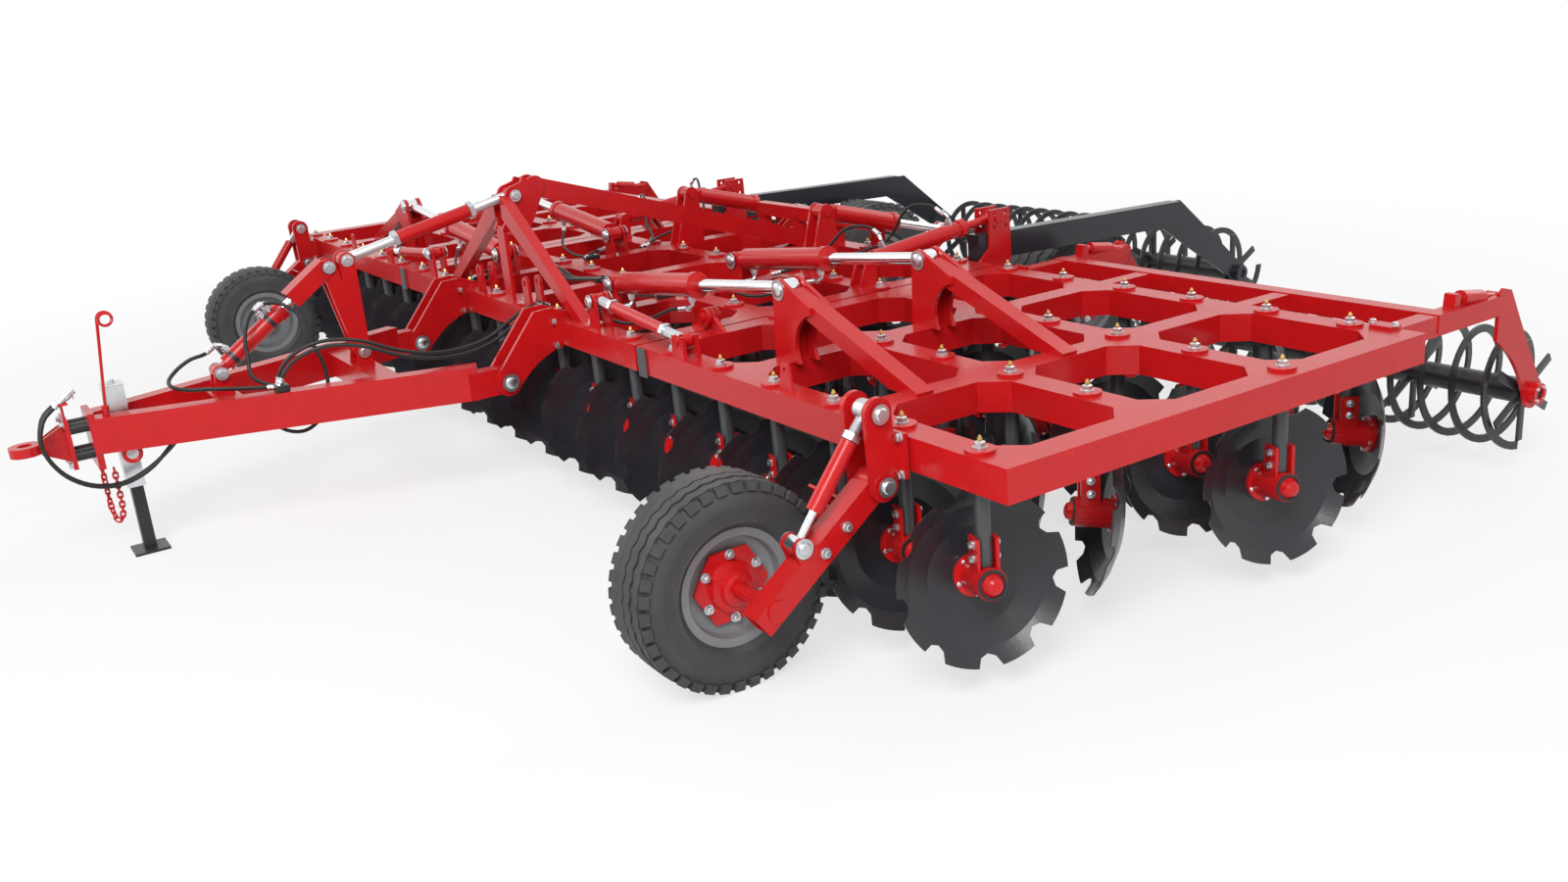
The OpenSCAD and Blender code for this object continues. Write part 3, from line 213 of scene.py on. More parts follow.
def dust_group() -> bpy.types.NodeTree:
    """Builds the group that settles dust on upward faces and shades a colour in soft patches.

    Returns:
        The group, with inputs Colour, Dust Colour, Dust and Patches, and outputs Colour and Mask.
    """
    tree = new_group(
        "SettledDust",
        {"Colour": (0.5, 0.5, 0.5), "Dust Colour": (0.5, 0.46, 0.4), "Dust": 0.15, "Patches": 0.1},
        ("Colour", "Mask"),
    )
    nodes, link = tree.nodes, tree.links.new
    place = add_node(tree, "TexCoord")
    facing = add_node(tree, "NewGeometry")
    split = add_node(tree, "SeparateXYZ")
    link(facing.outputs["Normal"], split.inputs[0])
    upward = ramp_between(tree, 0.2, 1.0)
    link(split.outputs["Z"], upward.inputs["Value"])
    cloud = add_node(tree, "TexNoise", Scale=2.3, Detail=6.0, Roughness=0.6)
    link(place.outputs["Object"], cloud.inputs["Vector"])
    thin = ramp_between(tree, 0.35, 0.75)
    link(cloud.outputs["Fac"], thin.inputs["Value"])
    both = add_node(tree, "Math", operation="MULTIPLY")
    link(upward.outputs[0], both.inputs[0])
    link(thin.outputs[0], both.inputs[1])
    mask = add_node(tree, "Math", operation="MULTIPLY")
    link(both.outputs[0], mask.inputs[0])
    link(nodes["in"].outputs["Dust"], mask.inputs[1])
    fine = add_node(tree, "TexNoise", Scale=9.0, Detail=3.0)
    link(place.outputs["Object"], fine.inputs["Vector"])
    shade = add_node(tree, "HueSaturation")
    swing = add_node(tree, "MapRange", From_Min=0.3, From_Max=0.7, To_Min=-0.5, To_Max=0.5)
    link(fine.outputs["Fac"], swing.inputs["Value"])
    amount = add_node(tree, "Math", operation="MULTIPLY_ADD")
    link(swing.outputs[0], amount.inputs[0])
    link(nodes["in"].outputs["Patches"], amount.inputs[1])
    amount.inputs[2].default_value = 1.0
    link(amount.outputs[0], shade.inputs["Value"])
    link(nodes["in"].outputs["Colour"], shade.inputs["Color"])
    mix = add_node(tree, "Mix", data_type="RGBA")
    link(mask.outputs[0], mix.inputs[MIX_FACTOR])
    link(shade.outputs["Color"], mix.inputs[MIX_FIRST])
    link(nodes["in"].outputs["Dust Colour"], mix.inputs[MIX_SECOND])
    link(mix.outputs[MIX_RESULT], nodes["out"].inputs["Colour"])
    link(mask.outputs[0], nodes["out"].inputs["Mask"])
    return tree


def grain_group() -> bpy.types.NodeTree:
    """Builds the group that gives a fine surface grain as a height and a roughness that varies.

    Returns:
        The group, with inputs Scale, Roughness and Spread, and outputs Height and Roughness.
    """
    tree = new_group(
        "SurfaceGrain", {"Scale": 120.0, "Roughness": 0.4, "Spread": 0.15}, ("Height", "Roughness")
    )
    nodes, link = tree.nodes, tree.links.new
    place = add_node(tree, "TexCoord")
    grain = add_node(tree, "TexNoise", Detail=4.0, Roughness=0.55)
    link(place.outputs["Object"], grain.inputs["Vector"])
    link(nodes["in"].outputs["Scale"], grain.inputs["Scale"])
    link(grain.outputs["Fac"], nodes["out"].inputs["Height"])
    smear = add_node(tree, "TexNoise", Scale=5.0, Detail=5.0)
    link(place.outputs["Object"], smear.inputs["Vector"])
    centred = add_node(tree, "Math", operation="SUBTRACT")
    link(smear.outputs["Fac"], centred.inputs[0])
    centred.inputs[1].default_value = 0.5
    spread = add_node(tree, "Math", operation="MULTIPLY_ADD", use_clamp=True)
    link(centred.outputs[0], spread.inputs[0])
    link(nodes["in"].outputs["Spread"], spread.inputs[1])
    link(nodes["in"].outputs["Roughness"], spread.inputs[2])
    link(spread.outputs[0], nodes["out"].inputs["Roughness"])
    return tree


@dataclass
class Groups:
    """The shader groups that the finishes share."""

    dust: bpy.types.NodeTree = field(default_factory=dust_group)
    grain: bpy.types.NodeTree = field(default_factory=grain_group)


@dataclass(frozen=True)
class Finish:
    """One finish: a colour with dust and grain over it, metal or not, with or without a clear coat."""

    name: str
    slot: Slot
    colour: Colour
    roughness: float
    metallic: float = 0.0
    coat: float = 0.0
    specular: float = 0.35
    dust: float = 0.12
    patches: float = 0.12
    grain_scale: float = 120.0
    grain_depth: float = 0.0006
    spread: float = 0.15

    def material(self, groups: Groups) -> bpy.types.Material:
        """Builds the finish as a node material.

        Args:
            groups: The shared shader groups.

        Returns:
            The material.
        """
        made = bpy.data.materials.new(self.name)
        made.use_nodes = True
        tree = made.node_tree
        link = tree.links.new
        shader = tree.nodes["Principled BSDF"]
        shader.inputs["Metallic"].default_value = self.metallic
        shader.inputs["Coat Weight"].default_value = self.coat
        shader.inputs["Coat Roughness"].default_value = COAT_ROUGHNESS
        shader.inputs["Specular IOR Level"].default_value = self.specular
        dust = tree.nodes.new("ShaderNodeGroup")
        dust.node_tree = groups.dust
        dust.inputs["Colour"].default_value = (*self.colour, 1.0)
        dust.inputs["Dust"].default_value = self.dust
        dust.inputs["Patches"].default_value = self.patches
        link(dust.outputs["Colour"], shader.inputs["Base Color"])
        grain = tree.nodes.new("ShaderNodeGroup")
        grain.node_tree = groups.grain
        grain.inputs["Scale"].default_value = self.grain_scale
        grain.inputs["Roughness"].default_value = self.roughness
        grain.inputs["Spread"].default_value = self.spread
        rougher = add_node(tree, "Math", operation="MULTIPLY_ADD", use_clamp=True)
        link(dust.outputs["Mask"], rougher.inputs[0])
        rougher.inputs[1].default_value = DUST_ROUGHNESS
        link(grain.outputs["Roughness"], rougher.inputs[2])
        link(rougher.outputs[0], shader.inputs["Roughness"])
        bump = add_node(tree, "Bump", Distance=self.grain_depth, Strength=BUMP_STRENGTH)
        link(grain.outputs["Height"], bump.inputs["Height"])
        link(bump.outputs["Normal"], shader.inputs["Normal"])
        return made


RED = Finish(
    "gloss_red_paint", Slot.RED, (0.52, 0.008, 0.010), 0.25,
    coat=0.12, specular=0.26, dust=0.04, patches=0.10,
)
DARK = Finish("dark_grey_paint", Slot.DARK, (0.055, 0.058, 0.062), 0.38, coat=0.2, dust=0.10)
NIGHT = Finish("night_blue_paint", Slot.DARK, (0.014, 0.016, 0.022), 0.30, coat=0.15, dust=0.05)
BLACK = Finish("black_paint", Slot.BLACK, (0.018, 0.018, 0.02), 0.40, coat=0.15, dust=0.10)
DISC = Finish(
    "blued_disc_steel", Slot.DISC, (0.020, 0.021, 0.026), 0.28, coat=0.10, specular=0.40, dust=0.03
)
CHROME = Finish(
    "chromed_rod", Slot.CHROME, (0.82, 0.83, 0.85), 0.09, metallic=1.0, dust=0.0, patches=0.03
)
ZINC = Finish(
    "zinc_plate", Slot.ZINC, (0.62, 0.64, 0.66), 0.32,
    metallic=1.0, dust=0.05, patches=0.2, grain_scale=300.0,
)
BRASS = Finish("yellow_zinc", Slot.ZINC, (0.62, 0.40, 0.12), 0.30, metallic=1.0, dust=0.05, patches=0.2)
RIM = Finish("grey_rim_paint", Slot.RIM, (0.20, 0.205, 0.215), 0.42, metallic=0.2, dust=0.10)
TYRE = Finish(
    "tyre_rubber", Slot.TYRE, (0.050, 0.050, 0.053), 0.68, dust=0.22, patches=0.3, grain_scale=220.0
)
HOSE = Finish(
    "hose_rubber", Slot.TYRE, (0.012, 0.012, 0.013), 0.45, dust=0.05, patches=0.15, grain_scale=400.0
)
PAD = Finish(
    "grey_rubber_pad", Slot.TYRE, (0.085, 0.085, 0.088), 0.65, dust=0.1, patches=0.2, grain_scale=260.0
)
# The first finish of a slot is the one its CAD nodes get, unless the node is named below
FINISHES = (RED, DARK, NIGHT, BLACK, DISC, CHROME, ZINC, BRASS, RIM, TYRE, HOSE, PAD)
NODE_FINISHES = {"roller_booms": NIGHT}


@dataclass
class Workshop:
    """The loaded frame with the materials, and the means to add pieces to it."""

    frame: dict[str, Any]
    materials: dict[str, bpy.types.Material]

    def paint_nodes(self) -> None:
        """Gives every CAD node the finish of its slot."""
        by_slot: dict[str, Finish] = {}
        for finish in FINISHES:
            by_slot.setdefault(finish.slot.value, finish)
        for entry in self.frame["record"]["subparts"]:
            node = self.frame["nodes"][entry["node"]]
            finish = NODE_FINISHES.get(entry["node"], by_slot[entry["material_slot"]])
            node.data.materials.clear()
            node.data.materials.append(self.materials[finish.name])

    def joint(self, name: str) -> dict[str, Any]:
        """Finds a joint by name."""
        return next(j for j in self.frame["joints"] if j["name"] == name)

    def pivot(self, name: str) -> Vector:
        """Gives a hinge's place at rest."""
        return Vector(self.joint(name)["pos_m"])

    def piece(
        self, name: str, shape: bmesh.types.BMesh, finish: Finish, body: str, smooth: bool = False
    ) -> bpy.types.Object:
        """Turns a finished bmesh into a piece of the object.

        Args:
            name: The piece's name.
            shape: The bmesh, in the row frame; it is freed.
            finish: The piece's finish.
            body: The body that carries it, or nothing to leave it loose in the world.
            smooth: Whether its round faces are shaded smooth.

        Returns:
            The new object.
        """
        mesh = bpy.data.meshes.new(name)
        bmesh.ops.recalc_face_normals(shape, faces=shape.faces)
        shape.to_mesh(mesh)
        shape.free()
        made = bpy.data.objects.new(name, mesh)
        bpy.context.scene.collection.objects.link(made)
        mesh.materials.append(self.materials[finish.name])
        if smooth:
            for face in mesh.polygons:
                face.use_smooth = True
            mesh.set_sharp_from_angle(angle=SMOOTH_ANGLE)
        if body:
            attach(made, body)
        LOG.info("%s on %s: %d faces", name, body or "a blend", len(mesh.polygons))
        return made

    def solids(self, node: str) -> list[tuple[Vector, Vector]]:
        """Finds the separate solids of a CAD node.

        Args:
            node: The node's name.

        Returns:
            The lowest and highest corner of each solid, in a fixed order.
        """
        shape = bmesh.new()
        shape.from_mesh(self.frame["nodes"][node].data)
        bmesh.ops.remove_doubles(shape, verts=shape.verts, dist=WELD)
        found: list[tuple[Vector, Vector]] = []
        left = set(shape.verts)
        while left:
            start = left.pop()
            front, island = [start], [start.co.copy()]
            while front:
                for edge in front.pop().link_edges:
                    for vert in edge.verts:
                        if vert in left:
                            left.remove(vert)
                            front.append(vert)
                            island.append(vert.co.copy())
            low = Vector(min(p[i] for p in island) for i in range(3))
            high = Vector(max(p[i] for p in island) for i in range(3))
            found.append((low, high))
        shape.free()
        return sorted(found, key=lambda corners: tuple(corners[0]))


# Shapes


def box_of(node: str) -> tuple[Vector, Vector]:
    """Gives the lowest and the highest corner of a CAD node's box.

    Args:
        node: The node's name.

    Returns:
        The two corners.
    """
    low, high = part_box(node)
    return Vector(low), Vector(high)


def frame_at(place: Vector, axis: Vector) -> Matrix:
    """Gives the matrix that moves a shape built along +Z to a place and an axis.

    Args:
        place: Where the shape's origin goes.
        axis: Where the shape's +Z points.

    Returns:
        The matrix.
    """
    turn = UPWARD.rotation_difference(axis.normalized()).to_matrix().to_4x4()
    return Matrix.Translation(place) @ turn


def add_cone(
    shape: bmesh.types.BMesh, at: Matrix, radii: tuple[float, float], low: float, high: float, sides: int
) -> None:
    """Adds a closed cone along the matrix's own Z.

    Args:
        shape: The bmesh that gets it.
        at: The place and direction.
        radii: The radii at the lower and the upper end.
        low: The lower end along Z.
        high: The upper end along Z.
        sides: The number of sides.
    """
    move = at @ Matrix.Translation((0, 0, (low + high) / 2))
    bmesh.ops.create_cone(
        shape, cap_ends=True, segments=sides, radius1=radii[0], radius2=radii[1], depth=high - low,
        matrix=move
    )


def add_disc(
    shape: bmesh.types.BMesh, at: Matrix, radius: float, low: float, high: float, sides: int
) -> None:
    """Adds a closed prism or cylinder along the matrix's own Z.

    Args:
        shape: The bmesh that gets it.
        at: The place and direction.
        radius: The radius to the corners.
        low: The lower end along Z.
        high: The upper end along Z.
        sides: The number of sides.
    """
    add_cone(shape, at, (radius, radius), low, high, sides)


def add_bolt(shape: bmesh.types.BMesh, at: Matrix, radius: float, washer: bool = True) -> None:
    """Adds a hexagon head with a chamfered top, on a washer, standing on the matrix's origin.

    Args:
        shape: The bmesh that gets it.
        at: The place on the face and the way out of it.
        radius: Half the head's width across corners.
        washer: Whether a washer lies under the head.
    """
    foot = 0.0
    if washer:
        foot = radius * WASHER_TALL
        add_disc(shape, at, radius * WASHER_RADIUS, 0.0, foot, 12)
    shoulder, top = foot + radius * HEAD_TALL, foot + radius * CROWN_TALL
    add_disc(shape, at, radius, foot, shoulder, 6)
    add_cone(shape, at, (radius * CROWN_RADII[0], radius * CROWN_RADII[1]), shoulder, top, 6)


def add_box(
    shape: bmesh.types.BMesh, low: Point, high: Point, at: Matrix | None = None, edge: float = 0.0
) -> None:
    """Adds a box between two corners, with its edges rounded.

    Args:
        shape: The bmesh that gets it.
        low: The lowest corner.
        high: The highest corner.
        at: A matrix for the finished box.
        edge: The width of the bevel on its edges.
    """
    size = [high[i] - low[i] for i in range(3)]
    middle = [(high[i] + low[i]) / 2 for i in range(3)]
    move = (at or Matrix.Identity(4)) @ Matrix.Translation(middle) @ Matrix.Diagonal((*size, 1.0))
    made = bmesh.ops.create_cube(shape, size=1.0, matrix=move)
    if edge:
        edges = list(dict.fromkeys(e for v in made["verts"] for e in v.link_edges))
        bmesh.ops.bevel(
            shape, geom=edges, offset=edge, affect="EDGES", segments=2, profile=0.5, material=-1
        )


def add_ring(
    shape: bmesh.types.BMesh, at: Matrix, profile: Profile, steps: int, wave: float = 0.0
) -> None:
    """Spins a profile of (radius, height) pairs round the matrix's own Z.

    Args:
        shape: The bmesh that gets it.
        at: The place and direction of the axis.
        profile: The profile's points.
        steps: The steps of a full turn.
        wave: How far the profile swings to and fro along Z from step to step.
    """
    verts = [shape.verts.new((radius, 0.0, height)) for radius, height in profile]
    edges = [shape.edges.new(pair) for pair in zip(verts, verts[1:] + verts[:1])]
    made = bmesh.ops.spin(
        shape, geom=verts + edges, cent=(0, 0, 0), axis=(0, 0, 1), angle=math.tau, steps=steps,
        use_merge=True
    )
    turned = {v for e in made["geom_last"] if isinstance(e, bmesh.types.BMEdge) for v in e.verts}
    whole = set(verts) | turned
    front = list(whole)
    while front:
        for edge in front.pop().link_edges:
            for vert in edge.verts:
                if vert not in whole:
                    whole.add(vert)
                    front.append(vert)
    if wave:
        for vert in whole:
            step = round(math.atan2(vert.co.y, vert.co.x) / math.tau * steps)
            vert.co.z += wave if step % 2 else -wave
    bmesh.ops.transform(shape, matrix=at, verts=list(whole))


def smooth_route(points: Sequence[Point], count: int) -> list[Vector]:
    """Runs one smooth curve through points.

    Args:
        points: The points that it passes.
        count: How many points the result has, evenly apart.

    Returns:
        The curve's points.
    """
    knots = [Vector(point) for point in points]
    fine: list[Vector] = []
    for i in range(len(knots) - 1):
        before, after = knots[max(i - 1, 0)], knots[min(i + 2, len(knots) - 1)]
        reach = (knots[i + 1] - knots[i]).length / 3
        leave = (knots[i + 1] - before).normalized() * reach
        arrive = (after - knots[i]).normalized() * reach
        bend = (knots[i], knots[i] + leave, knots[i + 1] - arrive, knots[i + 1])
        fine += interpolate_bezier(*bend, 24)[:-1]
    fine.append(knots[-1])
    steps = [(b - a).length for a, b in zip(fine, fine[1:])]
    total, route, walked, at = sum(steps), [], 0.0, 0
    for k in range(count):
        goal = total * k / (count - 1)
        while at < len(steps) - 1 and walked + steps[at] < goal:
            walked += steps[at]
            at += 1
        share = min(max((goal - walked) / steps[at], 0.0), 1.0)
        route.append(fine[at].lerp(fine[at + 1], share))
    return route


def circle_route(
    middle: Vector, first: Vector, second: Vector, radius: float, count: int
) -> list[Vector]:
    """Lays a route once round a circle.

    Args:
        middle: The circle's middle.
        first: The direction that goes with the sine.
        second: The direction that goes with the cosine, where the route starts.
        radius: The circle's radius.
        count: The number of points.

    Returns:
        The route's points.
    """
    turns = [math.tau * i / count for i in range(count)]
    return [middle + (first * math.sin(turn) + second * math.cos(turn)) * radius for turn in turns]


def route_frames(route: Sequence[Vector]) -> list[Matrix]:
    """Gives a matrix at each point of a route, its Z along the route, without twist.

    Args:
        route: The route's points.

    Returns:
        The matrices.
    """
    frames, last, turn = [], UPWARD, Quaternion()
    for i, place in enumerate(route):
        way = (route[min(i + 1, len(route) - 1)] - route[max(i - 1, 0)]).normalized()
        turn = last.rotation_difference(way) @ turn
        last = way
        frames.append(Matrix.Translation(place) @ turn.to_matrix().to_4x4())
    return frames


def add_sweep(
    shape: bmesh.types.BMesh, route: Sequence[Vector], radius: float, sides: int, loop: bool = False
) -> None:
    """Sweeps a circle along a route.

    Args:
        shape: The bmesh that gets it.
        route: The route's points.
        radius: The circle's radius.
        sides: The circle's sides.
        loop: Whether the route's end joins its start.
    """
    frames = route_frames(route)
    ring = bmesh.ops.create_circle(shape, segments=sides, radius=radius, matrix=frames[0])["verts"]
    edges = list(dict.fromkeys(edge for vert in ring for edge in vert.link_edges))
    first = list(edges)
    for before, after in zip(frames, frames[1:]):
        made = bmesh.ops.extrude_edge_only(shape, edges=edges)["geom"]
        verts = {item for item in made if isinstance(item, bmesh.types.BMVert)}
        edges = [
            item for item in made if isinstance(item, bmesh.types.BMEdge) and set(item.verts) <= verts
        ]
        bmesh.ops.transform(shape, matrix=after @ before.inverted(), verts=list(verts))
    if loop:
        bmesh.ops.bridge_loops(shape, edges=first + edges)
        return
    for end in (first, edges):
        bmesh.ops.contextual_create(shape, geom=end)


def add_thread(
    shape: bmesh.types.BMesh, start: Vector, end: Vector, radius: float, pitch: float = 0.007,
    depth: float = 0.0016, wall: float = 0.004
) -> None:
    """Adds a threaded sleeve round a rod.

    Args:
        shape: The bmesh that gets it.
        start: One end of the sleeve.
        end: The other end.
        radius: The radius at the roots of the thread.
        pitch: The distance between ridges.
        depth: How far the ridges stand out.
        wall: How far the sleeve reaches into the rod.
    """
    length = (end - start).length
    turns = max(2, round(length / pitch))
    ridges = [
        (radius + (depth if k % 2 else 0.0), length * k / (2 * turns)) for k in range(2 * turns + 1)
    ]
    profile = [(radius - wall, 0.0), *ridges, (radius - wall, length)]
    add_ring(shape, frame_at(start, end - start), profile, 20)


@dataclass
class LegFittings:
    """Fasteners of the legs: clamp bolts on the hubs' ears, hub caps, and nipples over the beams."""

    hub_height: float = 0.415
    tilt: float = math.radians(8)
    attack_front: float = math.radians(-18)
    attack_back: float = math.radians(55 - 180)
    ear_face: float = 0.0403
    bolt_heights: tuple[float, float] = (0.085, 0.135)
    bolt_radius: float = 0.013
    cover_top: float = 0.012
    cover_bolt: float = 0.020
    cap_seat: float = 0.060
    cap_radii: tuple[float, float] = (0.026, 0.016)
    cap_span: tuple[float, float] = (0.0252, 0.031)
    seal_radii: tuple[float, float] = (0.041, 0.052)
    seal_thick: float = 0.006
    flange_seat: float = 0.085
    flange_circle: float = 0.064
    flange_bolts: int = 5
    flange_bolt: float = 0.009
    nipple_shank: float = 0.007
    nipple_head: tuple[float, float] = (0.009, 0.004)
    nipple_heights: tuple[float, float, float] = (0.018, 0.030, 0.042)

    def legs(self, shop: Workshop, section: Section) -> list[tuple[Vector, float]]:
        """Finds a section's legs.

        Args:
            shop: The workshop with the frame.
            section: The section of the frame.

        Returns:
            For each leg, its top centre and the angle of its disc's axis.
        """
        boxes = shop.solids(f"{section.prefix}_legs")
        rows = {round((low.y + high.y) / 2, 3) for low, high in boxes}
        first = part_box("centre_legs")[0][1]
        pitch = (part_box("centre_legs")[1][1] - first) / 3
        found = []
        for low, high in boxes:
            row = round((low.y - first) / pitch)
            angle = self.attack_front if row % 2 == 0 else self.attack_back
            found.append((Vector(((low.x + high.x) / 2, (low.y + high.y) / 2, high.z)), angle))
        LOG.info("%s: %d legs in %d rows", section.prefix, len(found), len(rows))
        return found

    def build(self, shop: Workshop, section: Section) -> None:
        """Builds the fittings of one section.

        Args:
            shop: The workshop with the frame.
            section: The section of the frame.
        """
        bolts, caps, nipples, seals = bmesh.new(), bmesh.new(), bmesh.new(), bmesh.new()
        for place, angle in self.legs(shop, section):
            hub = Matrix.Translation((place.x, place.y, self.hub_height))
            upright = hub @ Matrix.Rotation(angle, 4, "Z")
            for side in (-1, 1):
                face = upright @ Matrix.Rotation(-side * math.pi / 2, 4, "X")
                for height in self.bolt_heights:
                    spot = upright @ Vector((0, side * self.ear_face, height))
                    add_bolt(bolts, Matrix.Translation(spot) @ face.to_3x3().to_4x4(), self.bolt_radius)
            axle = upright @ Matrix.Rotation(-self.tilt, 4, "Y") @ Matrix.Rotation(math.pi / 2, 4, "Y")
            inner, outer = self.seal_radii
            seal_top = self.cap_seat + self.seal_thick
            seal = [(inner, self.cap_seat), (outer, self.cap_seat), (outer, seal_top), (inner, seal_top)]
            add_ring(seals, axle, seal, 20)
            low, high = (self.cap_seat + rise for rise in self.cap_span)
            add_cone(caps, axle, self.cap_radii, low, high, 16)
            for i in range(self.flange_bolts):
                turn = Matrix.Rotation(math.tau * i / self.flange_bolts, 4, "Z")
                seat = axle @ turn @ Matrix.Translation((self.flange_circle, 0, -self.flange_seat))
                add_bolt(bolts, seat, self.flange_bolt, washer=False)
        self.add_nipples(shop, section, nipples, bolts)
        shop.piece(f"{section.prefix}_clamp_bolts", bolts, ZINC, section.body)
        shop.piece(f"{section.prefix}_hub_caps", caps, RED, section.body)
        shop.piece(f"{section.prefix}_hub_seals", seals, BLACK, section.body)
        shop.piece(f"{section.prefix}_grease_nipples", nipples, BRASS, section.body)

    def add_nipples(
        self, shop: Workshop, section: Section, nipples: bmesh.types.BMesh, bolts: bmesh.types.BMesh
    ) -> None:
        """Adds a bolt and a grease nipple on each cover plate above the beams.

        Args:
            shop: The workshop with the frame.
            section: The section of the frame.
            nipples: The bmesh that gets the nipples.
            bolts: The bmesh that gets the bolts.
        """
        beam_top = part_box("front_tower")[0][2]
        foot, neck, tip = self.nipple_heights
        for place, _ in self.legs(shop, section):
            seat = Matrix.Translation((place.x, place.y, beam_top + self.cover_top))
            add_bolt(bolts, seat, self.cover_bolt)
            add_disc(nipples, seat, self.nipple_shank, foot, neck, 8)
            add_cone(nipples, seat, self.nipple_head, neck, tip, 8)


@dataclass
class Wheel:
    """A pneumatic wheel: a treaded tyre in place of the plain solid, and its hub with nuts."""

    tyre_node: str
    rim_node: str
    body: str
    rim_radius: float
    outward: int
    blocks: int
    groove: float = 0.011
    ribs: tuple[float, ...] = (-0.29, -0.098, 0.098, 0.29)
    rib_half: float = 0.080
    zigzag: float = 0.022
    tread_root: float = 0.016
    outer_from: float = 0.2
    outer_drop: float = 0.005
    inner_drop: float = 0.001
    lug_place: float = 0.425
    lug_lean: float = math.radians(20)
    lug_long: float = 0.31
    lug_half: float = 0.050
    lug_foot: float = 0.014
    lug_drop: float = 0.007
    hub_radius: float = 0.150
    plate_depth: float = 0.040
    plate_thick: float = 0.012
    stud_circle: float = 0.117
    stud_radius: float = 0.006
    nut_radius: float = 0.015
    studs: int = 6

    def measure(self) -> tuple[Vector, float, float]:
        """Gives the wheel's centre, outer radius and width from the frame."""
        low, high = box_of(self.tyre_node)
        return (low + high) / 2, (high.z - low.z) / 2, high.x - low.x

    def build(self, shop: Workshop) -> None:
        """Builds the tyre, the hub and the nuts.

        Args:
            shop: The workshop with the frame.
        """
        centre, radius, width = self.measure()
        axis = frame_at(centre, ACROSS)
        name = self.tyre_node.removesuffix("_tyre")
        tyre = bmesh.new()
        self.add_carcass(tyre, axis, radius, width)
        self.add_tread(tyre, axis, radius, width)
        made = shop.piece(f"{name}_treaded_tyre", tyre, TYRE, self.body)
        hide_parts(self.tyre_node)
        for face in made.data.polygons:
            face.use_smooth = True
        made.data.set_sharp_from_angle(angle=TREAD_ANGLE)
        self.add_hub(shop, name, centre)

    def add_carcass(self, shape: bmesh.types.BMesh, axis: Matrix, radius: float, width: float) -> None:
        """Adds the tyre's body with its bead, bulged wall and shoulder.

        Args:
            shape: The bmesh that gets it.
            axis: The wheel's place, its Z along the axle.
            radius: The tyre's outer radius.
            width: The tyre's width.
        """
        base = radius - self.groove
        half = width / 2
        wall = [
            (self.rim_radius + 0.0005, half - 0.030),
            (self.rim_radius + 0.012, half - 0.016),
            (self.rim_radius + 0.022, half - 0.007),
            (self.rim_radius + 0.034, half - 0.010),
            ((self.rim_radius + base) / 2, half - 0.001),
            (base - 0.075, half - 0.001),
            (base - 0.035, half - 0.010),
            (base - 0.012, half - 0.030),
            (base, half - 0.055),
        ]
        profile = wall + [(r, -h) for r, h in reversed(wall)]
        add_ring(shape, axis, profile, 64)

    def add_tread(self, shape: bmesh.types.BMesh, axis: Matrix, radius: float, width: float) -> None:
        """Adds zigzag ribs round the middle and lugs on the shoulders.

        Args:
            shape: The bmesh that gets it.
            axis: The wheel's place, its Z along the axle.
            radius: The tyre's outer radius.
            width: The tyre's width.
        """
        step = math.tau / self.blocks
        low = radius - self.groove - self.tread_root
        length = radius * step
        for place in self.ribs:
            crown = radius - (self.outer_drop if abs(place) > self.outer_from else self.inner_drop)
            start, end = (place - self.rib_half) * width, (place + self.rib_half) * width
            profile = [(low, start), (crown, start), (crown, end), (low, end)]
            add_ring(shape, axis, profile, 2 * self.blocks, wave=self.zigzag * width)
        for i in range(self.blocks):
            for side in (-1, 1):
                at = axis @ Matrix.Rotation((i + 0.5 * (side > 0)) * step, 4, "Z")
                at = at @ Matrix.Translation((low, 0, side * width * self.lug_place))
                at = at @ Matrix.Rotation(side * self.lug_lean, 4, "Y")
                reach, half = length * self.lug_long, width * self.lug_half
                top = radius - low - self.lug_drop
                add_box(shape, (-self.lug_foot, -reach, -half), (top, reach, half), at)

    def add_hub(self, shop: Workshop, name: str, centre: Vector) -> None:
        """Adds the painted hub with its nuts on the wheel's open side.

        Args:
            shop: The workshop with the frame.
            name: The wheel's name.
            centre: The wheel's centre.
        """
        low, high = box_of(self.rim_node)
        face = high.x - centre.x if self.outward > 0 else centre.x - low.x
        seat = frame_at(centre, Vector((self.outward, 0, 0)))
        plate = face - self.plate_depth
        hub = bmesh.new()
        add_disc(hub, seat, self.hub_radius, plate, plate + self.plate_thick, 6)
        cap = [(0.0765, 0.010), (0.094, 0.010), (0.088, 0.036), (0.066, 0.042), (0.060, 0.060),
               (0.046, 0.068), (0.031, 0.070), (0.031, 0.030), (0.0765, 0.030)]
        add_ring(hub, seat, [(radius, plate + height) for radius, height in cap], 32)
        shop.piece(f"{name}_hub", hub, RED, self.body)
        nuts = bmesh.new()
        for i in range(self.studs):
            turn = Matrix.Rotation(math.tau * i / self.studs, 4, "Z")
            at = seat @ turn @ Matrix.Translation((self.stud_circle, 0, plate + self.plate_thick))
            add_bolt(nuts, at, self.nut_radius)
            add_disc(nuts, at, self.stud_radius, 0.010, 0.026, 8)
        shop.piece(f"{name}_wheel_nuts", nuts, ZINC, self.body)


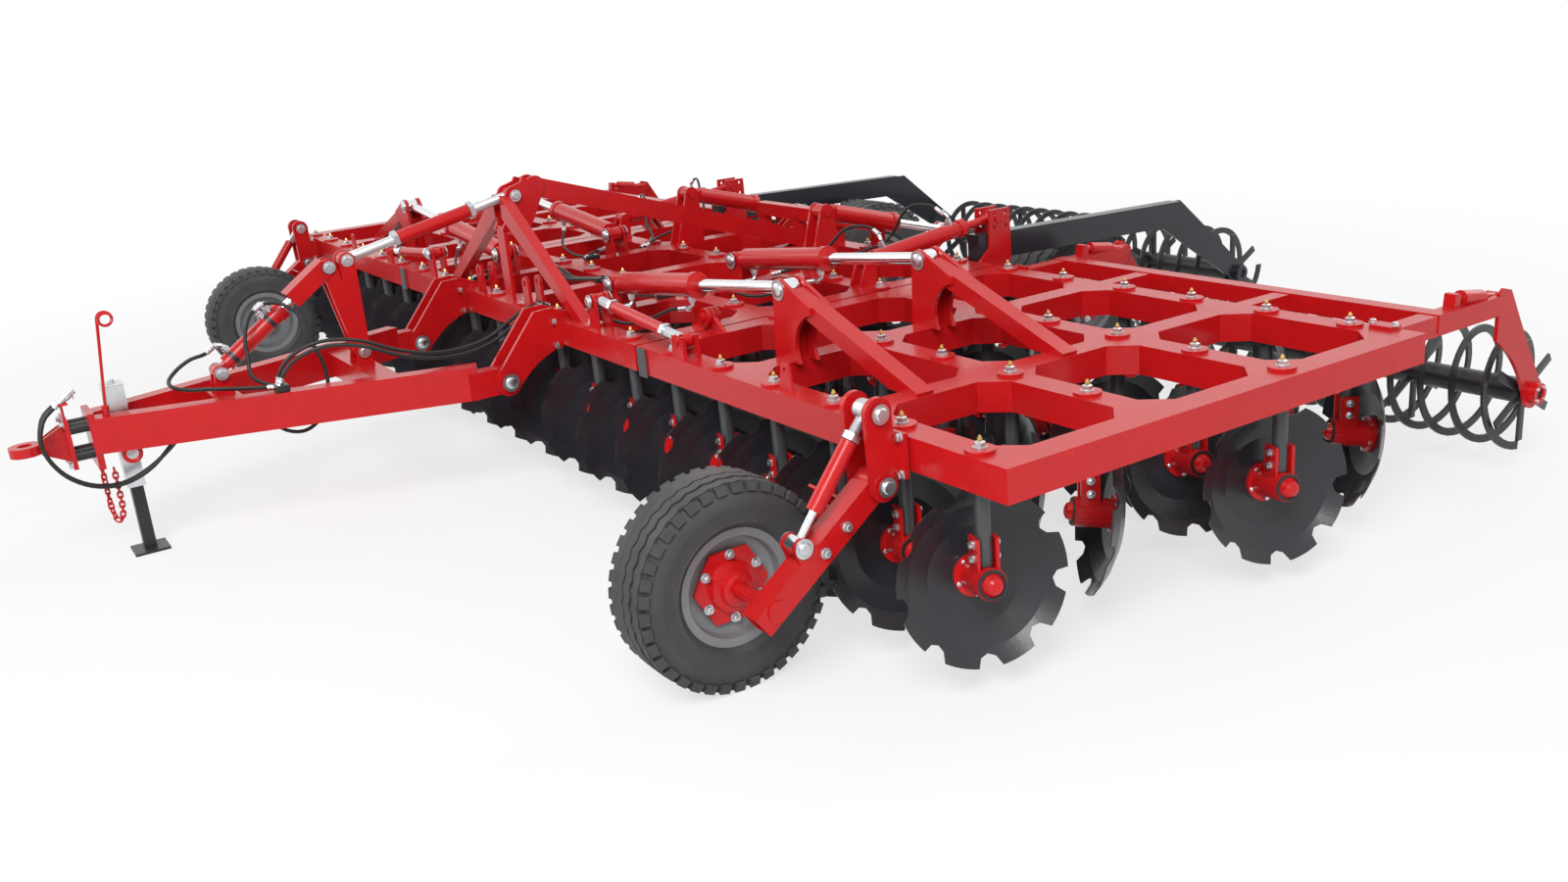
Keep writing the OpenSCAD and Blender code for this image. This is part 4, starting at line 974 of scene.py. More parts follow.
@dataclass
class CageRoller:
    """A cage roller whose coil is a smooth spiral of flat bar round its tube and spokes."""

    node: str
    body: str
    coil_pitch: float = 0.150
    coil_depth: float = 0.036
    coil_thick: float = 0.012
    tube_radius: float = 0.057
    stub_radius: float = 0.025
    stub_long: float = 0.060
    stars: int = 5
    star_inset: float = 0.010
    spoke_half: float = 0.020
    spoke_half_thick: float = 0.006
    spoke_edge: float = 0.002
    steps: int = 40

    def build(self, shop: Workshop) -> None:
        """Builds the roller in place of its solid.

        Args:
            shop: The workshop with the frame.
        """
        low, high = box_of(self.node)
        middle, radius = (low + high) / 2, (high.z - low.z) / 2
        start, end = low.x + self.stub_long, high.x - self.stub_long
        at = frame_at(Vector((start, middle.y, middle.z)), ACROSS)
        shape = bmesh.new()
        self.add_coil(shape, at, radius, end - start)
        add_disc(shape, at, self.tube_radius, 0.0, end - start, 28)
        add_disc(shape, at, self.stub_radius, -self.stub_long, end - start + self.stub_long, 20)
        reach = radius - self.coil_depth + 0.001
        for i in range(self.stars):
            along = self.star_inset + i * (end - start - 2 * self.star_inset) / (self.stars - 1)
            lowest = (-reach, -self.spoke_half, along - self.spoke_half_thick)
            highest = (reach, self.spoke_half, along + self.spoke_half_thick)
            for k in range(3):
                spoke = at @ Matrix.Rotation(math.radians(60 * k), 4, "Z")
                add_box(shape, lowest, highest, spoke, edge=self.spoke_edge)
        made = shop.piece(f"{self.node}_cage", shape, BLACK, self.body, smooth=True)
        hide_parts(self.node)

    def add_coil(self, shape: bmesh.types.BMesh, at: Matrix, radius: float, length: float) -> None:
        """Adds the spiral.

        Args:
            shape: The bmesh that gets it.
            at: The roller's place, its Z along the axle.
            radius: The coil's outer radius.
            length: The coil's length along the axle.
        """
        turns = (length - self.coil_thick) / self.coil_pitch
        steps = round(turns * self.steps)
        corners = [(radius - self.coil_depth, 0.0), (radius, 0.0), (radius, self.coil_thick),
                   (radius - self.coil_depth, self.coil_thick)]
        known = set(shape.verts)
        verts = [shape.verts.new((r, 0.0, z)) for r, z in corners]
        edges = [shape.edges.new(pair) for pair in zip(verts, verts[1:] + verts[:1])]
        made = bmesh.ops.spin(
            shape, geom=verts + edges, cent=(0, 0, 0), axis=(0, 0, 1), angle=math.tau * turns, steps=steps,
            dvec=(0, 0, (length - self.coil_thick) / steps)
        )
        last = [item for item in made["geom_last"] if isinstance(item, bmesh.types.BMEdge)]
        for rim in (edges, last):
            bmesh.ops.contextual_create(shape, geom=rim)
        bmesh.ops.transform(shape, matrix=at, verts=[vert for vert in shape.verts if vert not in known])


@dataclass
class RodCover:
    """The red channel over the lift cylinder's rod, held by the pin of the rod's eye."""

    wall: float = 0.006
    start: float = 0.485
    rise: float = 0.044
    drop: float = 0.036

    def build(self, shop: Workshop) -> None:
        """Builds the channel, open below, from the cylinder's end to round ends at the pin.

        Args:
            shop: The workshop with the frame.
        """
        base = shop.pivot("lift_barrel_swing")
        rod = shop.pivot("lift_lever_pivot") + Vector(LIFT_EYE) - base
        way = rod.normalized()
        at = Matrix((ACROSS, way, ACROSS.cross(way))).transposed().to_4x4()
        at.translation = base
        half, inner = ROD_COVER_HALF, ROD_COVER_HALF - self.wall
        top, foot = self.rise + self.wall, -self.drop
        outline = [(-half, foot), (-half, top), (half, top), (half, foot),
                   (inner, foot), (inner, self.rise), (-inner, self.rise), (-inner, foot)]
        shape = bmesh.new()
        face = shape.faces.new([shape.verts.new((x, self.start, z)) for x, z in outline])
        grown = bmesh.ops.extrude_face_region(shape, geom=[face], use_keep_orig=True)["geom"]
        far = [item for item in grown if isinstance(item, bmesh.types.BMVert)]
        bmesh.ops.translate(shape, verts=far, vec=(0, rod.length - self.start, 0))
        bmesh.ops.transform(shape, matrix=at, verts=shape.verts)
        for side in (-1, 1):
            end = frame_at(base + rod + ACROSS * side * inner, ACROSS * side)
            add_disc(shape, end, self.drop, 0.0, self.wall, 32)
        shop.piece("lift_rod_cover", shape, RED, "lift_rod")


@dataclass
class Pin:
    """A pivot pin: its middle, direction, half length and radius, and the body that has it."""

    middle: Vector
    axis: Vector
    reach: float
    radius: float
    body: str


@dataclass
class PinHeads:
    """The ends of the pivot pins: a washer and a domed head at each end of every pin."""

    slack: float = 0.0015
    lever_slack: float = 0.0047
    lever_bodies: tuple[str, str] = ("lift_lever", "lift_rod")
    washer_thick: float = 0.005
    dome_edge: float = 0.010
    dome_top: float = 0.014
    dome_hole: float = 0.0005

    def build(self, shop: Workshop) -> None:
        """Builds the heads of every pin and the shafts of the rods' pins, body by body.

        Args:
            shop: The workshop with the frame.
        """
        shapes: dict[str, bmesh.types.BMesh] = {}
        for pin in (*self.pins(shop), *self.rod_pins(shop)):
            if pin.body not in shapes:
                shapes[pin.body] = bmesh.new()
            for side in (-1, 1):
                at = frame_at(pin.middle + pin.axis * side * pin.reach, pin.axis * side)
                self.add_head(shapes[pin.body], at, pin.radius)
        for pin in self.rod_pins(shop):
            slack = self.lever_slack if pin.body in self.lever_bodies else self.slack
            at = frame_at(pin.middle, pin.axis)
            add_disc(shapes[pin.body], at, pin.radius - slack, -pin.reach, pin.reach, 24)
        for body, shape in shapes.items():
            shop.piece(f"{body}_pin_heads", shape, ZINC, body, smooth=True)

    def add_head(self, shape: bmesh.types.BMesh, at: Matrix, radius: float) -> None:
        """Adds a washer and a domed head.

        Args:
            shape: The bmesh that gets them.
            at: The pin's end, its Z outward.
            radius: The pin's radius.
        """
        bore, rim, thick = radius * 0.2, radius * 1.75, self.washer_thick
        add_ring(shape, at, [(bore, 0.0), (rim, 0.0), (rim, thick), (bore, thick)], 24)
        hole, wide, crown = self.dome_hole, radius * 1.15, radius * 0.95
        edge, top = self.dome_edge, self.dome_top
        add_ring(shape, at, [(hole, 0.0), (wide, 0.0), (wide, edge), (crown, top), (hole, top)], 24)

    def rod_pins(self, shop: Workshop) -> Iterable[Pin]:
        """Lists the pins through the eyes of the rods, which the solids leave open.

        Args:
            shop: The workshop with the frame.

        Yields:
            Each pin.
        """
        for side, sign in SIDES:
            for low, high in shop.solids(f"{side}_fold_barrels"):
                upright = Vector((sign * 2.313, (low.y + high.y) / 2, 1.160))
                yield Pin(upright, ALONG, 0.0535, 0.025, f"{side}_wing")
            arm = shop.pivot(f"{side}_gauge_arm_pivot")
            yield Pin(Vector((arm.x, -1.515, 0.570)), ACROSS, 0.0445, 0.020, f"{side}_gauge_arm")
            yield Pin(Vector((sign * 0.740, 1.375, 0.935)), ACROSS, 0.0375, 0.025, "axle")
        lever = shop.pivot("lift_lever_pivot")
        yield Pin(lever + Vector(LIFT_EYE), ACROSS, ROD_COVER_HALF, 0.018, "lift_rod")
        yield Pin(lever + Vector(TOP_LINK_EYE), ACROSS, 0.0485, 0.018, "lift_lever")

    def pins(self, shop: Workshop) -> Iterable[Pin]:
        """Lists the pins whose shafts are in the solids.

        Args:
            shop: The workshop with the frame.

        Yields:
            Each pin.
        """
        for side, _ in SIDES:
            for joint, body in (("gauge_arm_pivot", "gauge_arm"), ("gauge_barrel_swing", "gauge_barrel")):
                yield Pin(shop.pivot(f"{side}_{joint}"), ACROSS, 0.0815, 0.020, f"{side}_{body}")
            fold = shop.pivot(f"{side}_fold_barrel_swing")
            for low, high in shop.solids(f"{side}_fold_barrels"):
                middle = Vector((fold.x, (low.y + high.y) / 2, fold.z))
                yield Pin(middle, ALONG, 0.0635, 0.025, f"{side}_fold_barrels")
            yield Pin(shop.pivot(f"{side}_stop_link_swing"), ALONG, 0.0515, 0.018, f"{side}_stop_link")
        for x in (-NECK_X, NECK_X):
            yield Pin(Vector((x, *shop.pivot("drawbar_hinge")[1:])), ACROSS, 0.0905, 0.025, "drawbar")
        yield Pin(shop.pivot("lift_lever_pivot"), ACROSS, 0.0755, 0.018, "lift_lever")
        yield Pin(shop.pivot("lift_barrel_swing"), ACROSS, 0.0705, 0.018, "lift_barrel")
        yield Pin(shop.pivot("top_link_swing"), ACROSS, 0.0735, 0.018, "centre")


@dataclass
class ThreadedEnds:
    """The plated, threaded ends and lock nuts of the adjustable links."""

    nut_long: float = 0.026
    small_nut: float = 0.035
    large_nut: float = 0.046
    strut: Point = (0.0, -0.315, -0.395)
    stop_link: tuple[float, float] = (0.815, -0.070)

    def build(self, shop: Workshop) -> None:
        """Builds the ends of the gauge struts, the stop links and the top link.

        Args:
            shop: The workshop with the frame.
        """
        for side, sign in SIDES:
            top = shop.pivot(f"{side}_gauge_barrel_swing")
            shape = bmesh.new()
            across = frame_at(top - ACROSS * 0.0256, ACROSS)
            add_ring(shape, across, [(0.0205, 0), (0.0366, 0), (0.0366, 0.0512), (0.0205, 0.0512)], 28)
            way = Vector(self.strut).normalized()
            self.add_ends(shape, top, way, [(0.034, 0.119)], 0.0184, [0.090], self.small_nut)
            shop.piece(f"{side}_strut_thread", shape, ZINC, f"{side}_gauge_barrel")
            base = shop.pivot(f"{side}_stop_link_swing")
            link = Vector((sign * self.stop_link[0], 0, self.stop_link[1]))
            way, reach = link.normalized(), link.length
            shape = bmesh.new()
            spans = [(0.028, 0.168), (reach - 0.192, reach - 0.028)]
            self.add_ends(shape, base, way, spans, 0.0210, [0.139, reach - 0.185], self.small_nut)
            shop.piece(f"{side}_stop_link_threads", shape, ZINC, f"{side}_stop_link")
        tower = shop.pivot("top_link_swing")
        link = shop.pivot("lift_lever_pivot") + Vector(TOP_LINK_EYE) - tower
        way, reach = link.normalized(), link.length
        shape = bmesh.new()
        spans = [(0.034, 0.251), (0.649, reach - 0.032)]
        self.add_ends(shape, tower, way, spans, 0.0244, [0.222, 0.652], self.large_nut)
        shop.piece("top_link_threads", shape, ZINC, "top_link")

    def add_ends(
        self, shape: bmesh.types.BMesh, base: Vector, way: Vector, spans: Profile, radius: float,
        nuts: Sequence[float], nut_radius: float
    ) -> None:
        """Adds the threads and lock nuts of one link.

        Args:
            shape: The bmesh that gets them.
            base: The link's first eye.
            way: The link's direction.
            spans: Where each thread starts and ends along the link.
            radius: The threads' radius.
            nuts: Where each nut starts along the link.
            nut_radius: The nuts' radius to the corners.
        """
        for low, high in spans:
            add_thread(shape, base + way * low, base + way * high, radius)
        for low in nuts:
            add_disc(shape, frame_at(base + way * low, way), nut_radius, 0.0, self.nut_long, 6)


@dataclass
class Fasteners:
    """Bolts of the clamped brackets, and the rubber pads on the wing joints."""

    beam_low: float = 0.745
    front_face: float = -1.095
    pad: tuple[float, float] = (1.578, 1.650)
    neck_off: float = 0.086
    bracket_off: float = 0.088
    hitch_off: float = 0.060
    hitch_heights: tuple[float, float] = (0.505, 0.705)
    arm_way: Point = (0.0, -0.445, -0.323)
    arm_half: float = 0.045
    arm_bolts: tuple[float, float] = (0.185, 0.300)
    clamp_bolt: float = 0.015
    flange_bolt: float = 0.016
    roller_bolt: float = 0.013
    bearing_bolt: float = 0.008
    bearing_circle: float = 0.036

    def build(self, shop: Workshop) -> None:
        """Builds the bolts and the pads.

        Args:
            shop: The workshop with the frame.
        """
        centre = bmesh.new()
        for sign in (-1, 1):
            for off in (-self.neck_off, self.neck_off):
                for height in (self.beam_low - 0.004, FRAME_TOP - 0.006):
                    place = Vector((sign * NECK_X + off, self.front_face - 0.016, height))
                    add_bolt(centre, frame_at(place, FORWARD), self.clamp_bolt)
        hitch_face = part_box("hitch_buffers")[0][1] - 0.020
        drawbar = bmesh.new()
        for x in (-self.hitch_off, self.hitch_off):
            for height in self.hitch_heights:
                add_bolt(drawbar, frame_at(Vector((x, hitch_face, height)), FORWARD), self.flange_bolt)
        shop.piece("goose_neck_bolts", centre, ZINC, "centre")
        shop.piece("hitch_flange_bolts", drawbar, ZINC, "drawbar")
        for side, sign in SIDES:
            self.add_wing(shop, side, sign)
            self.add_arm(shop, side)

    def add_wing(self, shop: Workshop, side: str, sign: int) -> None:
        """Adds the bolts of a gauge bracket and a roller's clamps, and the joint's pad.

        Args:
            shop: The workshop with the frame.
            side: The wing's side.
            sign: The side's sign along X.
        """
        shape = bmesh.new()
        arm = shop.pivot(f"{side}_gauge_arm_pivot")
        for off in (-self.bracket_off, self.bracket_off):
            for height in (self.beam_low - 0.006, FRAME_TOP + 0.006):
                place = Vector((arm.x + off, self.front_face - 0.036, height))
                add_bolt(shape, frame_at(place, FORWARD), self.clamp_bolt)
        low, high = box_of(f"{side}_roller_frame")
        outer = high.x if sign > 0 else low.x
        for off in (-0.088, 0.0075):
            place = Vector((outer + sign * (off - 0.040), low.y + 0.034, FRAME_TOP + 0.014))
            add_bolt(shape, frame_at(place, UPWARD), self.roller_bolt)
        axle = shop.pivot(f"{side}_roller_spin")
        for k in range(4):
            turn = math.radians(45 + 90 * k)
            off = Vector((0, math.cos(turn), math.sin(turn))) * self.bearing_circle
            spot = Vector((outer, axle.y, axle.z)) + off
            add_bolt(shape, frame_at(spot, ACROSS * sign), self.bearing_bolt, washer=False)
        shop.piece(f"{side}_wing_bolts", shape, ZINC, f"{side}_wing")
        pad = bmesh.new()
        inner, outer_edge = (sign * x for x in self.pad)
        add_box(pad, (min(inner, outer_edge), self.front_face - 0.011, self.beam_low - 0.014),
                (max(inner, outer_edge), self.front_face, FRAME_TOP - 0.002), edge=0.004)
        shop.piece(f"{side}_joint_pad", pad, PAD, f"{side}_wing")

    def add_arm(self, shop: Workshop, side: str) -> None:
        """Adds the bolts through a gauge arm.

        Args:
            shop: The workshop with the frame.
            side: The wing's side.
        """
        shape = bmesh.new()
        pivot = shop.pivot(f"{side}_gauge_arm_pivot")
        way = Vector(self.arm_way).normalized()
        for along in self.arm_bolts:
            for face in (-1, 1):
                place = pivot + way * along + ACROSS * face * self.arm_half
                add_bolt(shape, frame_at(place, ACROSS * face), self.flange_bolt)
        shop.piece(f"{side}_arm_bolts", shape, ZINC, f"{side}_gauge_arm")


@dataclass
class Hose:
    """A hydraulic hose with a crimped ferrule at each end."""

    name: str
    points: Sequence[Point]
    body: str
    far_body: str = ""
    diameter: float = THICK_HOSE
    far_end: str = "object"
    count: int = 36
    ferrules: bool = True

    def build(self, shop: Workshop, pieces: Sequence[bpy.types.Object] = ()) -> None:
        """Args:
            shop: The workshop with the frame.
            pieces: The separate pieces on the hose.
        """
        route = smooth_route(self.points, self.count)
        shape = bmesh.new()
        add_sweep(shape, route, self.diameter / 2, 10)
        made = shop.piece(self.name, shape, HOSE, "" if self.far_body else self.body, smooth=True)
        if self.far_body:
            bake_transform(made)
        ends = list(pieces)
        if self.ferrules:
            for label, body, place, way in (
                ("start", self.body, route[0], route[1] - route[0]),
                ("end", self.far_body or self.body, route[-1], route[-2] - route[-1]),
            ):
                crimp = bmesh.new()
                add_ring(crimp, frame_at(place, way), self.crimp(), 14)
                ends.append(shop.piece(f"{self.name}_{label}_ferrule", crimp, ZINC, body, smooth=True))

    def crimp(self) -> list[tuple[float, float]]:
        """Gives a ferrule's profile, with the grooves of the crimp."""
        bore, skin = self.diameter / 2 - 0.001, self.diameter / 2 + 0.0035
        groove = skin - 0.0015
        return [(bore, -0.012), (skin - 0.001, -0.012), (skin, -0.006), (skin, 0.006), (groove, 0.009),
                (skin, 0.012), (skin, 0.022), (groove, 0.025), (skin, 0.028), (skin, 0.038), (bore, 0.040)]


# The drawbar's first hose; the second lies beside it and hangs lower between the clips
DRAWBAR_RUN: tuple[Point, ...] = (
    (0.325, -2.385, 0.738), (0.318, -2.365, 0.800), (0.318, -2.300, 0.862), (0.335, -2.200, 0.902),
    (0.360, -2.090, 0.908), (0.395, -1.970, 0.880), (0.425, -1.830, 0.815), (0.440, -1.680, 0.770),
    (0.450, -1.520, 0.760), (0.455, -1.370, 0.785), (0.450, -1.235, 0.850), (0.440, -1.130, 0.895),
    (0.430, -1.030, 0.890),
)
# Half of a hose that crosses the frame, from a rail to the middle
CROSS_RUN: tuple[Point, ...] = (
    (0.720, 0.0, 0.876), (0.560, -0.010, 0.862), (0.370, -0.030, 0.846), (0.180, -0.015, 0.862),
)


@dataclass
class Plumbing:
    """The hydraulic hoses, their ports on the cylinders, and their clips."""

    beam_top: float = 0.710
    lift_way: Vector = field(default_factory=lambda: Vector((0, 0.8196, 0.5730)))
    lift_up: Vector = field(default_factory=lambda: Vector((0, -0.5730, 0.8196)))

    def build(self, shop: Workshop) -> None:
        """Builds the hoses of the lift, fold and boom cylinders, the drawbar and the frame.

        Args:
            shop: The workshop with the frame.
        """
        self.add_lift(shop)
        self.add_drawbar_run(shop)
        for side, sign in SIDES:
            self.add_fold(shop, side, sign)
            self.add_boom(shop, side, sign)
        self.add_cross_run(shop)

    def add_port(self, shape: bmesh.types.BMesh, seat: Vector, way: Vector, out: Vector) -> Vector:
        """Adds a port block with an elbow on a cylinder.

        Args:
            shape: The bmesh that gets it.
            seat: The place on the cylinder's wall.
            way: The direction away from the wall.
            out: The direction in which the hose leaves.

        Returns:
            The mouth of the elbow.
        """
        up, side = way.normalized(), out.normalized()
        add_disc(shape, frame_at(seat, up), 0.019, -0.006, 0.016, 16)
        add_disc(shape, frame_at(seat, up), 0.016, 0.016, 0.028, 6)
        elbow = ((0.026, 0.0), (0.042, 0.0), (0.052, 0.010), (0.056, 0.026))
        add_sweep(shape, [seat + up * rise + side * off for rise, off in elbow], 0.009, 10)
        mouth = seat + up * 0.056 + side * 0.024
        add_disc(shape, frame_at(mouth, side), 0.0155, -0.006, 0.008, 6)
        return mouth + side * 0.018

    def add_clip(self, shop: Workshop, name: str, body: str, place: Point, size: Point) -> None:
        """Adds a clamp block with two bolts over a bundle of hoses.

        Args:
            shop: The workshop with the frame.
            name: The piece's name.
            body: The body that carries it.
            place: The middle of its foot.
            size: Its size along X, Y and Z.
        """
        shape = bmesh.new()
        low = (place[0] - size[0] / 2, place[1] - size[1] / 2, place[2])
        add_box(shape, low, (low[0] + size[0], low[1] + size[1], low[2] + size[2]), edge=0.004)
        for off in (-0.3, 0.3):
            at = Vector((place[0] + off * size[0], place[1], place[2] + size[2]))
            add_bolt(shape, frame_at(at, UPWARD), 0.007)
        shop.piece(name, shape, BLACK, body)

    def add_lift(self, shop: Workshop) -> None:
        """Adds the lift cylinder's ports, bands and hoses down to the near beam.

        Args:
            shop: The workshop with the frame.
        """
        base = shop.pivot("lift_barrel_swing")
        ports, bands = bmesh.new(), bmesh.new()
        for along in (0.085, 0.330):
            ring = frame_at(base + self.lift_way * along, self.lift_way)
            add_ring(bands, ring, [(0.0415, 0), (0.0445, 0), (0.0445, 0.022), (0.0415, 0.022)], 32)
        upper = base + self.lift_way * 0.375 + self.lift_up * 0.041
        lower = base + self.lift_way * 0.100 + self.lift_up * 0.041
        first = self.add_port(ports, upper, self.lift_up, ACROSS - self.lift_way * 0.6)
        beside = upper - self.lift_way * 0.045
        second = self.add_port(ports, beside, self.lift_up, ACROSS + self.lift_way * 0.7)
        third = self.add_port(ports, lower, self.lift_up, ACROSS * -0.6 - self.lift_way)
        shop.piece("lift_ports", ports, ZINC, "lift_barrel")
        shop.piece("lift_bands", bands, BLACK, "lift_barrel", smooth=True)
        Hose("lift_hose_front", [
            tuple(first), (0.062, first.y - 0.055, first.z - 0.030),
            (0.105, first.y - 0.105, first.z - 0.120), (0.135, first.y - 0.115, 0.865),
            (0.180, -2.465, 0.775), (0.255, -2.420, 0.738), (0.330, -2.372, 0.730),
        ], "lift_barrel", "drawbar", far_end="fitting").build(shop)
        Hose("lift_hose_back", [
            tuple(third), (third.x - 0.022, third.y - 0.040, third.z - 0.030),
            (third.x - 0.050, third.y - 0.105, 0.858), (third.x - 0.048, third.y - 0.182, 0.815),
            (0.008, third.y - 0.232, 0.780), (0.088, third.y - 0.195, 0.758),
            (0.155, -2.650, 0.745), (0.240, -2.520, 0.736), (0.318, -2.395, 0.730),
        ], "lift_barrel", "drawbar", far_end="fitting").build(shop)
        Hose("lift_hose_loop", [
            tuple(second), (second.x + 0.040, second.y + 0.030, second.z + 0.016),
            (second.x + 0.085, second.y + 0.085, second.z + 0.010),
            (second.x + 0.120, second.y + 0.150, 1.020),
            (0.190, -2.170, 0.905), (0.222, -2.135, 0.780), (0.250, -2.140, 0.650), (0.270, -2.195, 0.535),
            (0.280, -2.290, 0.480), (0.272, -2.390, 0.510), (0.264, -2.440, 0.590), (0.262, -2.450, 0.650),
        ], "lift_barrel", "drawbar", far_end="fitting", count=40).build(shop)
        clamp = (0.340, -2.375, self.beam_top)
        self.add_clip(shop, "beam_hose_clamp", "drawbar", clamp, (0.085, 0.060, 0.034))

    def add_drawbar_run(self, shop: Workshop) -> None:
        """Adds the two hoses that sag from the drawbar to the frame.

        Args:
            shop: The workshop with the frame.
        """
        for k, (off, rise) in enumerate(((0.0, 0.0), (0.028, -0.022))):
            first, *sag, clipped, last = DRAWBAR_RUN
            points = [first, *((x, y, z + rise) for x, y, z in sag), clipped, last]
            points = [(x + off, y, z) for x, y, z in points]
            Hose(f"drawbar_hose_{k}", points, "drawbar", "centre", count=40).build(shop)
        clamp = (0.444, -1.050, FRAME_TOP)
        self.add_clip(shop, "frame_hose_clamp", "centre", clamp, (0.090, 0.045, 0.040))

    def add_fold(self, shop: Workshop, side: str, sign: int) -> None:
        """Adds the ports of a wing's fold cylinders and the hoses to the frame.

        Args:
            shop: The workshop with the frame.
            side: The wing's side.
            sign: The side's sign along X.
        """
        pivot = shop.pivot(f"{side}_fold_barrel_swing")
        way = Vector((sign * 1.573, 0, 0.168)).normalized()
        down = Vector((way.z * sign, 0, -abs(way.x)))
        ports = bmesh.new()
        rows = [(low.y + high.y) / 2 for low, high in shop.solids(f"{side}_fold_barrels")]
        # Numbered round the machine: back to front on the left, front to back on the right
        for k, y in enumerate(sorted(rows, reverse=sign > 0)):
            wall = Vector((pivot.x, y, pivot.z)) + down * 0.054
            inner = self.add_port(ports, wall + way * 0.115, down, Vector((-sign * 0.3, -1, 0)))
            outer = self.add_port(ports, wall + way * 0.740, down, Vector((-sign, -0.6, 0)))
            Hose(f"{side}_fold_hose_base_{k}", [
                tuple(inner), (inner.x - sign * 0.020, inner.y - 0.060, inner.z - 0.006),
                (inner.x - sign * 0.070, inner.y - 0.120, 0.890), (sign * 0.730, inner.y - 0.185, 0.880),
            ], f"{side}_fold_barrels", "centre", THIN_HOSE, far_end="fitting", count=18).build(shop)
            Hose(f"{side}_fold_hose_rod_{k}", [
                tuple(outer), (outer.x - sign * 0.080, outer.y - 0.040, outer.z - 0.012),
                (sign * 1.250, y - 0.130, 0.895), (sign * 1.060, y - 0.150, 0.858),
                (sign * 0.890, y - 0.150, 0.862), (sign * 0.745, y - 0.150, 0.882),
            ], f"{side}_fold_barrels", "centre", THIN_HOSE, far_end="fitting", count=30).build(shop)
            clip = (sign * 0.738, y - 0.175, FRAME_TOP)
            self.add_clip(shop, f"{side}_fold_clip_{k}", "centre", clip, (0.060, 0.085, 0.026))
        shop.piece(f"{side}_fold_ports", ports, ZINC, f"{side}_fold_barrels")

    def add_boom(self, shop: Workshop, side: str, sign: int) -> None:
        """Adds the ports and the two hoses of a boom's cylinder.

        Args:
            shop: The workshop with the frame.
            side: The cylinder's side.
            sign: The side's sign along X.
        """
        front_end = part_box("boom_rams")[0][1]
        way = Vector((0, 0.840, 0.094)).normalized()
        up = Vector((0, -way.z, way.y))
        wall = Vector((sign * 1.356, front_end + 0.034, 0.983)) + up * 0.041
        ports = bmesh.new()
        first = self.add_port(ports, wall + way * 0.110, up, Vector((-sign, 0.4, 0.3)))
        second = self.add_port(ports, wall + way * 0.560, up, Vector((-sign, -0.4, 0.3)))
        shop.piece(f"{side}_boom_ports", ports, ZINC, "centre")
        for k, mouth in enumerate((first, second)):
            Hose(f"{side}_boom_hose_{k}", [
                tuple(mouth), (mouth.x - sign * 0.070, mouth.y - 0.010, mouth.z + 0.030),
                (mouth.x - sign * 0.200, mouth.y - 0.060, mouth.z + 0.015),
                (mouth.x - sign * 0.330, mouth.y - 0.130, 0.985),
                (sign * 0.830, 0.290 + 0.030 * k, 0.905), (sign * 0.760, 0.170 + 0.030 * k, 0.882),
            ], "centre", diameter=THIN_HOSE, far_end="fitting", count=30).build(shop)

    def add_cross_run(self, shop: Workshop) -> None:
        """Adds the hoses that run from rail to rail behind the front tower.

        Args:
            shop: The workshop with the frame.
        """
        for k, y in enumerate((-0.455, -0.480, -0.505)):
            half = [(x, y + off, z) for x, off, z in CROSS_RUN]
            points = [*half, (0.0, y, half[0][2]), *((-x, back, z) for x, back, z in reversed(half))]
            Hose(f"cross_hose_{k}", points, "centre", diameter=THIN_HOSE).build(shop)
        for k, x in enumerate((-0.728, 0.0, 0.728)):
            clip = (x, -0.480, FRAME_TOP)
            self.add_clip(shop, f"rail_hose_clip_{k}", "centre", clip, (0.036, 0.100, 0.026))


